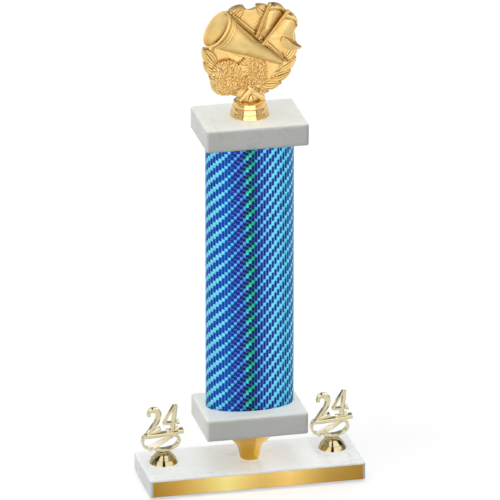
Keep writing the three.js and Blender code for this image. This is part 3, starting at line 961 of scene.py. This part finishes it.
def make_megaphone():
    axis = (BELL - MOUTH).normalized()
    across = Vector((-axis.y, axis.x)) * (-1 if axis.x < 0 else 1)  # towards the upper edge
    length = (BELL - MOUTH).length / math.cos(LEAN)

    def ring_point(along, r, angle, flatten):
        """A point of the round horn, laid down and flattened into the relief."""
        flat_along = along * math.cos(LEAN) - r * math.sin(LEAN) * math.sin(angle)
        rise = along * math.sin(LEAN) * AXIS_FLATTEN + r * math.cos(LEAN) * math.sin(angle) * flatten
        p = MOUTH + axis * flat_along + across * (r * math.cos(angle))
        return on_medallion(p.x, p.y, AXIS_D + rise)

    def cone_r(share):
        return MOUTH_R + (BELL_R - MOUTH_R) * share

    outline = [(0, -0.4), (1.6, -0.4), (2.9, -0.1), (3.2, 0.6), (3.2, 1.6), (2.7, 2.4), (2.4, 3.2)]
    for i in range(3, 36):
        outline.append((cone_r(i / 40), length * i / 40))
    # Two thin collar lines behind the bell, then its rolled lip.
    for share in (0.895, 0.93):
        for step, proud in ((-0.008, 0.0), (-0.004, 0.45), (0.004, 0.45), (0.008, 0.0)):
            outline.append((cone_r(share + step) + proud, length * (share + step)))
    for i in range(11):
        a = -math.pi / 2 + math.pi * 1.25 * i / 10
        outline.append((BELL_R - 0.2 + 1.0 * math.cos(a), length - 1.0 + 1.0 * math.sin(a)))
    rings = []
    for r, along in outline:
        rings.append((r, along, BELL_FLATTEN + BODY_FLATTEN * min(2.4 * max(1 - along / length, 0), 1)))
    for i in range(1, 21):
        a = math.pi / 2 * i / 20
        rings.append(((BELL_R - 1.3) * math.cos(a), length - 1.3 - BOWL * math.sin(a), BELL_FLATTEN))

    around = 120
    verts = []
    for r, along, flatten in rings:
        for j in range(around):
            verts.append(ring_point(along, r, TAU * j / around, flatten))
    solids = Solids()
    solids.add(verts, grid_faces(len(rings), around, False, True))
    add_horn_backing(solids, axis, across)
    figure_piece(solids, "medallion_megaphone", HORN_GOLD, 34)
    make_horn_trim(axis, across)


def add_horn_backing(solids, axis, across):
    """The mould's fill under the horn, so that it stands on the field without an undercut."""
    long = (BELL - MOUTH).length

    def surface(s, t):
        t = 2 * t - 1
        far = long * s
        half = 1.4 + (BELL_R - 5.6) * s
        round_end = BELL_R * math.sin(LEAN) * 0.55 * math.sqrt(max(1 - t * t, 0)) * s ** 6
        past_bell = far + round_end - long
        p = MOUTH + axis * (far + round_end) + across * (half * t)
        under_axis = AXIS_D + far * math.tan(LEAN) * AXIS_FLATTEN * 0.8
        under_bowl = 1.8 + 0.35 * max(-past_bell - 14, 0)
        return (p.x, p.y, min(under_axis, under_bowl))

    patch(solids, surface, 34, 25, on_medallion, HORN_BACK)


def make_horn_trim(axis, across):
    """The double strip with a deep groove down the horn's upper edge, and the grip on its lower edge."""
    long = (BELL - MOUTH).length
    solids = Solids()

    def edge(share, out, depth, width, thick):
        half = MOUTH_R + (BELL_R - MOUTH_R) * max(share, 0)
        p = MOUTH + axis * (long * share) + across * (half + out if out > 0 else out - half)
        return (p.x, p.y, depth, width, thick)

    def spread(share):
        """The strip narrows towards the mouthpiece."""
        return 0.5 + 0.5 * min(share * 2.5 + 0.3, 1)

    for out, lift, width in ((0.3, 1.0, 1.3), (3.1, 0.1, 0.9)):
        shares = [-0.04 + 0.98 * i / 24 for i in range(25)]
        path = [edge(s, out * spread(s), 2.9 + 2.6 * s + lift, width, 2.6) for s in shares]
        sweep(solids, path, ROUND_BAR, on_medallion)
    shares = [-0.02 + 0.95 * i / 24 for i in range(25)]
    groove = [edge(s, 1.8 * spread(s), -0.4 + 1.2 * s, 2.6, 5.0) for s in shares]
    sweep(solids, groove, BLOCK_BAR, on_medallion)
    for share in (0.335, 0.455):
        bridge = [edge(share, out, lift + 2.6 * share, 1.6, 2.4) for out, lift in ((0.3, 4.4), (3.4, 3.6))]
        sweep(solids, bridge, ROUND_BAR, on_medallion)

    shares = [0.02 + 0.9 * i / 24 for i in range(25)]
    lower = [edge(s, -0.1, 1.6 + 1.6 * s, 1.0, 2.2) for s in shares]
    sweep(solids, lower, ROUND_BAR, on_medallion)
    for n in range(9):
        share = 0.34 + 0.036 * n
        swell = 0.4 + 1.0 * math.sin(math.pi * (n + 0.5) / 9)
        ends = [edge(share - 0.008, -0.5 - swell, 3.2, 2.3, 2.6), edge(share + 0.03, -0.3, 3.6, 2.3, 2.6)]
        sweep(solids, ends, ROUND_BAR, on_medallion)
    figure_piece(solids, "medallion_megaphone_trim", FIGURE_GOLD, 50)


def pompom(name, centre, radii, height, seed):
    """A ball of crinkled foil: lobes with deep creases, tumbled in the middle and radial at the edge."""
    shift = Vector((seed * 7.3, seed * 3.1, 0))
    rings, around = 96, 330

    def creases(u, v, s, angle):
        tumble = 1 - min(s, 1) ** 3
        warp = Vector([noise.noise(Vector((u, v, seed + more)) * 0.3) for more in (0, 9)] + [0])
        arc = angle * (radii[0] + radii[1]) / 2
        radial = Vector((arc / 2.2, s * radii[1] / 4.2, 0))
        loose = Vector((u / 3.8, v / 4.3, 0)) + warp * 1.5
        near, _ = noise.voronoi(shift + (loose if s < 0.8 else radial))
        ridge = 1 - math.exp(-(near[1] - near[0]) / 0.34)
        curl = noise.noise(Vector((u, v, seed + 4)) * 0.55)
        return 1.25 * ridge * (0.75 + 0.25 * tumble) + 1.5 * curl * tumble

    def edge_share(angle):
        bumps = abs(math.sin(angle * 17 + 1.4 * math.sin(3 * angle)))
        drift = noise.noise(Vector((3 * math.cos(angle), 3 * math.sin(angle), seed)))
        return 0.94 + 0.05 * bumps + 0.03 * drift

    front = []
    for i in range(rings):
        s = (i + 0.02) / (rings - 1)
        for j in range(around):
            angle = TAU * j / around
            # A slightly square ball fills the gap beside its neighbour.
            square = (abs(math.cos(angle)) ** 2.5 + abs(math.sin(angle)) ** 2.5) ** (-1 / 2.5)
            reach = s * square * edge_share(angle)
            u = centre[0] + radii[0] * reach * math.cos(angle)
            v = centre[1] + radii[1] * reach * math.sin(angle)
            dome = (height - 2.4) * math.sqrt(max(1 - s ** 2.4, 0))
            drop = 1.6 * max(s - 0.93, 0) / 0.07
            front.append(on_medallion(u, v, 2.0 + dome + creases(u, v, s, angle) - drop))
    rim = front[-around:]
    back = POMPOM_BACK + 0.01 * seed
    middle = on_medallion(centre[0], centre[1], back)
    rear = [(x, middle[1], z) for x, _, z in rim] + [middle] * around
    solids = Solids()
    solids.add(front + rear, grid_faces(rings + 2, around, False, True))
    figure_piece(solids, name, POMPOM_GOLD, 40)


def make_pompoms():
    pompom("medallion_pompom_left", (-22.0, -21.8), (14.2, 18.0), 8.2, 5)
    pompom("medallion_pompom_right", (1.2, -20.2), (15.0, 17.2), 7.2, 11)


def cloth(solids, top, bottom, depth, amount, rim=0.0):
    """A pennant between its top and bottom edge lines: it sags beside its stick and swells beyond."""
    upper = smooth_line(top, 30)
    lower = smooth_line(bottom, 30)

    def surface(s, t):
        i = round(s * 30)
        p = Vector(lower[i]).lerp(Vector(upper[i]), t)
        fold = amount * math.sin(TAU * (0.85 * s - 0.2) + 0.8 * t)
        border = rim * math.exp(-((t - 0.93) / 0.06) ** 2) + 0.4 * rim * math.exp(-((s - 0.97) / 0.04) ** 2)
        gutter = 0.5 * rim * math.exp(-((t - 0.82) / 0.035) ** 2)
        return (p.x, p.y, depth + fold + border - gutter)

    patch(solids, surface, 31, 41, on_medallion, CLOTH_BACK + 0.02 * depth)


def make_pennants():
    solids = Solids()
    cloth(solids, [(17.4, 43.0), (22.6, 43.6), (28.6, 41.0), (32.6, 36.0)],
          [(8.7, 18.6), (12.3, 21.0), (16.2, 22.2), (21.0, 20.6)], 4.7, 1.4, 0.9)
    cloth(solids, [(33.6, 35.2), (38.4, 33.0), (41.8, 28.8), (42.6, 22.6)],
          [(15.8, 13.2), (23.6, 14.0), (30.4, 13.8), (36.2, 10.6)], 5.2, 1.6, 0.9)
    # The second pennant's tail, folded back under it and out again.
    cloth(solids, [(30.4, 13.2), (35.0, 11.4), (40.0, 6.2), (46.2, 1.4)],
          [(28.3, 6.2), (31.0, 1.0), (36.0, -1.2), (44.6, 0.0)], 3.9, 0.5, 1.0)
    cloth(solids, [(28.6, 13.0), (31.0, 13.9), (33.2, 12.8)],
          [(27.1, 7.0), (28.8, 8.2), (30.8, 10.0)], 4.2, 0.4, 0.4)
    cloth(solids, [(8.5, 19.8), (11.6, 21.2), (14.8, 21.8)],
          [(6.4, 15.2), (7.8, 15.8), (9.4, 17.2)], 2.4, 0.4, 0.4)
    figure_piece(solids, "medallion_pennants", HORN_GOLD, 50)

    sticks = Solids()
    for top, foot, lift in (((16.9, 44.6), (4.8, 14.8), 5.2), ((33.2, 36.8), (10.8, 7.6), 5.8)):
        for offset, size, proud in ((-0.85, 1.5, -0.3), (0.75, 1.7, 0.2)):
            side = Vector((foot[1] - top[1], top[0] - foot[0])).normalized() * offset
            path = []
            for i in range(15):
                f = i / 14
                u = top[0] + (foot[0] - top[0]) * f + side.x
                v = top[1] + (foot[1] - top[1]) * f + side.y
                path.append((u, v, lift + proud, size, 3.2))
            sweep(sticks, path, ROUND_BAR, on_medallion)
        lathe_knob(sticks, top, lift)
    figure_piece(sticks, "medallion_sticks", FIGURE_GOLD, 50)


def lathe_knob(solids, at, lift, r=1.7):
    """A small ball, for the end of a stick."""
    rings, around = 10, 18
    verts = []
    for i in range(rings + 1):
        a = math.pi * i / rings
        for j in range(around):
            b = TAU * j / around
            verts.append(on_medallion(
                at[0] + r * math.sin(a) * math.cos(b),
                at[1] + r * math.sin(a) * math.sin(b),
                lift - 0.4 + r * 0.9 * math.cos(a),
            ))
    solids.add(verts, grid_faces(rings + 1, around, False, True))


def ribbon(solids, path, width, thick):
    """A flat ribbon with a raised border down each side."""
    line = smooth_line(path, 16)
    sweep(solids, [(u, v, d, width, thick) for u, v, d in line], BLOCK_BAR, on_medallion)
    for side in (-1, 1):
        border = []
        for i, (u, v, d) in enumerate(line):
            before, after = line[max(i - 1, 0)], line[min(i + 1, 16)]
            along = Vector((after[0] - before[0], after[1] - before[1])).normalized()
            off = Vector((-along.y, along.x)) * side * (width / 2 - 0.4)
            border.append((u + off.x, v + off.y, d + thick / 2, 0.7, 0.7))
        sweep(solids, border, ROUND_BAR, on_medallion)


def make_bow():
    """The tie at the foot of the wreath, and the root that stands in the dome."""
    solids = Solids()
    levels = [(9.0, -33.0), (13.0, -36.6), (12.8, -40.6), (9.4, -44.0), (8.2, -47.4)]

    def root(s, t):
        i = s * (len(levels) - 1)
        k = min(int(i), len(levels) - 2)
        f = i - k
        w = levels[k][0] + (levels[k + 1][0] - levels[k][0]) * f
        v = levels[k][1] + (levels[k + 1][1] - levels[k][1]) * f
        side = 2 * t - 1
        swell = math.sqrt(max(1 - abs(side) ** 2.6, 0))
        return (w * side + 0.3, v, 0.6 + (2.6 + 2.2 * s) * swell)

    patch(solids, root, 22, 25, on_medallion, TIE_BACK)
    ribbon(solids, [(-0.4, -34.8, 5.6), (-4.2, -38.6, 5.4), (-8.2, -43.8, 4.8)], 4.4, 1.6)
    ribbon(solids, [(0.8, -34.8, 5.6), (5.0, -38.6, 5.4), (10.6, -42.6, 4.4)], 4.8, 1.6)
    ribbon(solids, [(-2.2, -31.2, 6.2), (0.2, -34.6, 6.8), (3.6, -36.6, 6.2)], 2.2, 1.4)
    knot(solids, (9.1, -37.0), 1.7, 5.4, 7.0)
    # The smooth cone between the tails.
    cone = [(0.2, -38.8, 4.6, 1.2, 3.0), (0.2, -42.2, 4.8, 4.6, 3.4), (0.2, -46.8, 4.6, 8.6, 3.8)]
    sweep(solids, smooth_line(cone, 10), ROUND_BAR, on_medallion, False)
    figure_piece(solids, "medallion_tie", FIGURE_GOLD, 40)

    peg = Solids()
    outline = [(0, -3.4), (2.8, -3.4), (3.25, -2.9), (3.25, 0)]
    outline += [(8.5, 0), (8.7, 0.5), (8.5, 1.6), (7.2, 2.6), (0, 2.6)]
    lathe(peg, outline, (0, 0, DOME_LOW.z + DOME_SEAT), 72)
    figure_piece(peg, "medallion_peg", FIGURE_GOLD, 40)


def knot(solids, at, half, low, high):
    """A four-sided stud, like the crossing of a tie."""
    def surface(s, t):
        a, b = 2 * s - 1, 2 * t - 1
        height = low + (high - low) * (1 - max(abs(a), abs(b)) ** 1.4)
        return (at[0] + half * (a - b) * 0.72, at[1] + half * (a + b) * 0.72, height)

    patch(solids, surface, 9, 9, on_medallion, FIELD_FACE)


# ---- Year trims ----

def bevelled_bar(flat, side):
    """A section with a flat face and flat sides, each a share of its half width, between bevels."""
    return [(-flat, 1), (flat, 1), (1, side), (1, -side), (flat, -1), (-flat, -1), (-1, -side), (-1, side)]


NUMERAL_BAR = bevelled_bar(0.55, 0.55)
STRAP_BAR = bevelled_bar(0.7, 0.9)
NUMERAL_THICK = 3.6

TWO = [
    [(-13.7, 45.2, 3.0), (-13.2, 48.6, 3.6), (-10.9, 50.8, 4.6), (-7.4, 50.8, 5.4), (-4.9, 47.8, 5.6),
     (-4.9, 43.8, 5.2), (-7.0, 38.8, 4.7), (-10.7, 33.6, 4.0), (-14.6, 28.6, 3.2)],
    [(-15.4, 28.2, 2.6), (-9.0, 29.6, 3.4), (-5.0, 30.9, 5.0), (-2.4, 31.8, 6.0)],
]
FOUR = [
    [(10.7, 54.2, 3.8), (9.7, 45.6, 4.1), (8.8, 37.8, 4.2), (7.9, 30.6, 4.3)],
    [(10.0, 54.4, 2.8), (4.7, 46.0, 2.5), (0.2, 37.8, 2.8)],
    [(-0.6, 37.2, 2.6), (6.0, 37.3, 3.1), (11.6, 37.8, 3.2), (14.0, 38.2, 5.2)],
    [(2.4, 29.5, 4.2), (6.2, 30.1, 3.0), (10.6, 30.7, 3.0), (13.6, 31.5, 4.6)],
]
# The strap stands on edge, so the loop shows its inside: (u, v, width in view).
TOP_DEEP, LOOP_DEEP, BLOCK_DEEP = 6.4, 6.2, 7.0
TOP_STRAP = [(-16.4, 26.2, 3.2), (-4.0, 26.6, 3.3), (7.0, 27.4, 3.3), (13.2, 28.4, 3.3)]
LEFT_LOOP = [(-12.0, 26.4, 2.6), (-16.8, 26.0, 2.4), (-19.2, 23.0, 2.1), (-19.2, 19.2, 2.0),
             (-17.0, 16.0, 2.0), (-13.6, 14.2, 2.0)]
RIGHT_LOOP = [(7.6, 27.0, 2.6), (12.0, 24.8, 2.4), (14.0, 20.8, 2.2), (12.8, 16.8, 2.1),
              (8.8, 13.8, 2.1), (3.0, 12.3, 2.2), (-2.4, 12.1, 2.2), (-8.0, 13.4, 2.0)]
BLOCK = [(12.8, 28.5, 3.5), (18.0, 29.1, 3.5)]
TAIL_FROM, TAIL_TO = Vector((8.4, 25.2)), Vector((-16.0, 12.9))
TAIL_NOTCH = 0.2  # the depth of the cut between the two points, as a share of the tail
TAIL_SKEW = 0.065  # how much longer the upper point is
TAIL_ROWS, TAIL_COLUMNS = 29, 41


def year_strokes(solids, strokes, lift, to_frame):
    for n, stroke in enumerate(strokes):
        steps = 9 * (len(stroke) - 1)
        line = smooth_line(stroke, steps)
        # Each stroke is a hair thicker than the last, so that no two faces lie in one plane.
        thick = NUMERAL_THICK + 0.07 * n
        sweep(solids, [(u, v, lift, w, thick) for u, v, w in line], NUMERAL_BAR, to_frame, False)


def swallow_tail(solids, to_frame):
    """The ribbon's loose end, slanting across the loop and cut to two points."""
    along = TAIL_TO - TAIL_FROM
    across = Vector((-along.y, along.x)).normalized()

    def surface(s, t):
        side = 2 * t - 1
        stop = 1 - TAIL_NOTCH * (1 - abs(side)) * s ** 3 - TAIL_SKEW * side * s
        centre = TAIL_FROM + along * (s * stop)
        arch = 1.0 * math.sin(math.pi * s)
        half = 1.5 + 1.0 * math.sin(math.pi / 2 * s)
        p = centre + across * (half * side) + Vector((0, arch))
        crown = 0.5 * (1 - side * side) + 2.2 * math.sin(math.pi * s) ** 0.7
        rib = 0.14 * math.cos(TAU * 4 * side) if abs(side) < 0.9 else 0.3
        return (p.x, p.y, 1.2 + crown + rib)

    grid(solids, surface, TAIL_ROWS, TAIL_COLUMNS, to_frame, lambda d: d - 1.3)


def make_year_figure(side, foot):
    def to_frame(u, v, d):
        return (foot.x + u, foot.y - d, foot.z + v)

    def finish(solids, name, material, sharp_degrees):
        made = solids.build(f"year_{name}_{side}", material, sharp_degrees)
        place(made, f"{side}_trim", f"{side}_year_figure")

    numerals = Solids()
    year_strokes(numerals, TWO, 0.3, to_frame)
    year_strokes(numerals, FOUR, 0.5, to_frame)
    finish(numerals, "numerals", TRIM_GOLD, 24)

    strap = Solids()
    for run, steps, deep, round_ends in (
        (TOP_STRAP, 24, TOP_DEEP, True),
        (LEFT_LOOP, 36, LOOP_DEEP, True),
        (RIGHT_LOOP, 48, LOOP_DEEP, True),
        (BLOCK, 8, BLOCK_DEEP, False),
    ):
        path = [(u, v, 0, wide, deep) for u, v, wide in smooth_line(run, steps)]
        sweep(strap, path, STRAP_BAR, to_frame, round_ends)
    finish(strap, "ribbon", TRIM_GOLD, 28)

    loose_end = Solids()
    swallow_tail(loose_end, to_frame)
    finish(loose_end, "ribbon_tail", FROSTED_GOLD, 28)

    neck = Solids()
    lathe(neck, NECK, foot, 64)
    finish(neck, "neck", TRIM_GOLD, 40)


NECK = [(0, 9.0), (4.4, 9.0), (4.3, 10.1), (3.4, 10.5), (2.7, 11.0), (2.5, 11.6), (2.9, 12.2),
        (3.2, 12.9), (0, 12.9)]


def make_trim_dome(side, foot):
    """Two steep bright bands with a groove between them, then a shoulder and a small ring at the neck."""
    outline = [(2.75, 0), (12.7, 0)]
    outline += bulge(13.05, 11.1, 0.3, 4.2, 0.04)
    outline += [(10.6, 4.35)]
    outline += bulge(10.85, 7.2, 4.6, 8.6, 0.12)
    outline += [(6.7, 8.9), (6.0, 9.3), (5.6, 9.2), (5.1, 9.6), (4.6, 9.9), (2.75, 9.9)]
    solids = Solids()
    lathe(solids, outline, foot, 128)
    dome = solids.build(f"trim_cap_{side}", TRIM_GOLD, 30)
    place(dome, f"{side}_trim", f"{side}_trim_dome")


# ---- Everything on the frame ----

def finish_kept_nodes():
    """The hidden CAD pieces keep their own shape and get a real material."""
    for node, material in (
        ("lower_column_plug", BLACK_PLASTIC),
        ("upper_column_plug", BLACK_PLASTIC),
        ("nameplate_tape", TAPE),
    ):
        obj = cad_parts[node]
        obj.data.materials.clear()
        obj.data.materials.append(material)


make_base_slab()
make_plate("lower_stone", "lower_plate", LOWER_LOW, LOWER_HIGH)
make_plate("upper_stone", "upper_plate", UPPER_LOW, UPPER_HIGH)
make_nameplate()
make_felt_pads()
make_fasteners()
make_riser()
make_column()
make_figure_dome()
make_field()
make_wreath()
make_megaphone()
make_pompoms()
make_pennants()
make_bow()
for trim_side, trim_foot in TRIMS.items():
    make_year_figure(trim_side, trim_foot)
    make_trim_dome(trim_side, trim_foot)
finish_kept_nodes()


# ---- Studio ----

AZIMUTH = math.radians(12.77)  # the camera stands this far round to the trophy's left
ELEVATION = math.radians(21.44)
DISTANCE_M = 8.0
PIXELS_PER_RADIAN = 11995.6 / 10.64 * DISTANCE_M  # the focal length, for an image 500 pixels wide
IMAGE_PIXELS = 500
AIM = Vector((0, 0, 225.5)) * MM
AIM_PIXEL = (249.6, 241.65)

# Panels for reflections: azimuth from the camera, width, lower and upper edge in degrees, brightness.
PANEL_M = 2.6
PANELS = [
    ("front_low", 2.5, 74, -6, 13, 2.3),
    ("front_left", -35, 50, 15, 73, 1.6),
    ("front_right", 50, 70, 15, 73, 1.6),
    ("dark_middle", 2.5, 21, 15, 73, 0.02),
    ("dark_left", -81, 36, 15, 73, 0.02),
    ("dark_right", 106, 36, 15, 73, 0.02),
    ("left_low", -64, 46, -2, 13, 0.6),
    ("right_low", 69, 46, -2, 13, 0.66),
    ("rear_left", -135, 50, -2, 50, 0.7),
    ("rear_right", 152, 50, -2, 50, 0.7),
    ("rear", -171, 18, -2, 50, 0.3),
]


def make_floor():
    m = Nodes("floor_paper")
    tone = m.ramp(m.noise(3, 2), [(0.3, 0.9), (0.7, 0.94)])
    material = m.finish(base_color=tone, roughness=0.9, specular_ior_level=0.1)
    mesh = bpy.data.meshes.new("floor")
    far = 14.0
    mesh.from_pydata([(-far, -far, 0), (far, -far, 0), (far, far, 0), (-far, far, 0)], [], [(0, 1, 2, 3)])
    mesh.materials.append(material)
    floor = bpy.data.objects.new("floor", mesh)
    bpy.context.scene.collection.objects.link(floor)
    floor.visible_diffuse = False


def panel(name, azimuth, width, low, high, brightness):
    """A glowing studio panel that only polished surfaces see.

    azimuth and width are degrees round from the camera, low and high are degrees above the trophy.
    """
    turn = AZIMUTH - math.radians(azimuth)
    out = Vector((-math.sin(turn), -math.cos(turn), 0))
    beside = Vector((-out.y, out.x, 0)) * (PANEL_M * math.tan(math.radians(width / 2)))
    corners = []
    for edge in (low, high):
        height = 0.3 + PANEL_M * math.tan(math.radians(edge))
        for side in (-1, 1):
            corners.append(out * PANEL_M + beside * side + Vector((0, 0, height)))
    glow(name, corners, brightness)


def glow(name, corners, brightness):
    m = Nodes(name)
    m.finish(base_color=grey(0), emission_color=grey(1), emission_strength=brightness)
    mesh = bpy.data.meshes.new(name)
    mesh.from_pydata([tuple(corner) for corner in corners], [], [(0, 1, 3, 2)])
    mesh.materials.append(m.material)
    obj = bpy.data.objects.new(name, mesh)
    bpy.context.scene.collection.objects.link(obj)
    obj.visible_camera = False
    obj.visible_diffuse = False
    obj.visible_shadow = False


def sun(name, towards, strength, spread, shadow):
    """Soft daylight from a direction. Only matt surfaces see it."""
    light = bpy.data.lights.new(name, "SUN")
    light.energy = strength
    light.angle = math.radians(spread)
    light.use_shadow = shadow
    obj = bpy.data.objects.new(name, light)
    obj.rotation_euler = Vector(towards).to_track_quat("Z", "Y").to_euler()
    obj.visible_glossy = False
    bpy.context.scene.collection.objects.link(obj)


def make_lights():
    sun("overhead", (-0.12, 0.03, 1.0), 1.7, 50, False)
    sun("overhead_soft", (-0.10, -0.05, 1.0), 0.7, 60, True)
    sun("side_fill", (-0.85, -0.42, 0.2), 1.0, 40, False)
    sun("rear_fill", (0.7, 0.7, 0.2), 0.6, 40, False)
    for name, *place_and_size in PANELS:
        panel(name, *place_and_size)
    near_floor = [(x, y, 0.004) for y in (-0.8, -0.3) for x in (-0.5, 0.5)]
    glow("floor_glow", near_floor, 1.2)
    card_z = BASE_HIGH.z * MM + 0.0004
    beside_riser = [(x, y, card_z) for y in (-0.034, 0.034) for x in (0.007, 0.06)]
    glow("riser_glow", beside_riser, 1.05)
    world = bpy.data.worlds.new("studio")
    world.use_nodes = True
    tree = world.node_tree
    room = tree.nodes["Background"]
    room.inputs["Color"].default_value = grey(1.0)
    room.inputs["Strength"].default_value = 0.26
    seen = tree.nodes.new("ShaderNodeBackground")
    seen.inputs["Color"].default_value = grey(0.95)
    rays = tree.nodes.new("ShaderNodeLightPath")
    choice = tree.nodes.new("ShaderNodeMixShader")
    tree.links.new(rays.outputs["Is Camera Ray"], choice.inputs[0])
    tree.links.new(room.outputs[0], choice.inputs[1])
    tree.links.new(seen.outputs[0], choice.inputs[2])
    tree.links.new(choice.outputs[0], tree.nodes["World Output"].inputs[0])
    bpy.context.scene.world = world


def make_camera():
    camera = bpy.data.cameras.new("camera")
    camera.sensor_width = 36
    camera.lens = PIXELS_PER_RADIAN * camera.sensor_width / IMAGE_PIXELS
    camera.clip_end = 100
    camera.shift_x = (IMAGE_PIXELS / 2 - AIM_PIXEL[0]) / IMAGE_PIXELS
    camera.shift_y = (AIM_PIXEL[1] - IMAGE_PIXELS / 2) / IMAGE_PIXELS
    away = Vector((
        -math.sin(AZIMUTH) * math.cos(ELEVATION),
        -math.cos(AZIMUTH) * math.cos(ELEVATION),
        math.sin(ELEVATION),
    ))
    obj = bpy.data.objects.new("camera", camera)
    obj.location = AIM + away * DISTANCE_M
    obj.rotation_euler = (-away).to_track_quat("-Z", "Y").to_euler()
    bpy.context.scene.collection.objects.link(obj)
    bpy.context.scene.camera = obj


make_floor()
make_lights()
make_camera()
bpy.context.scene.view_settings.view_transform = "Standard"
bpy.context.scene.view_settings.look = "None"
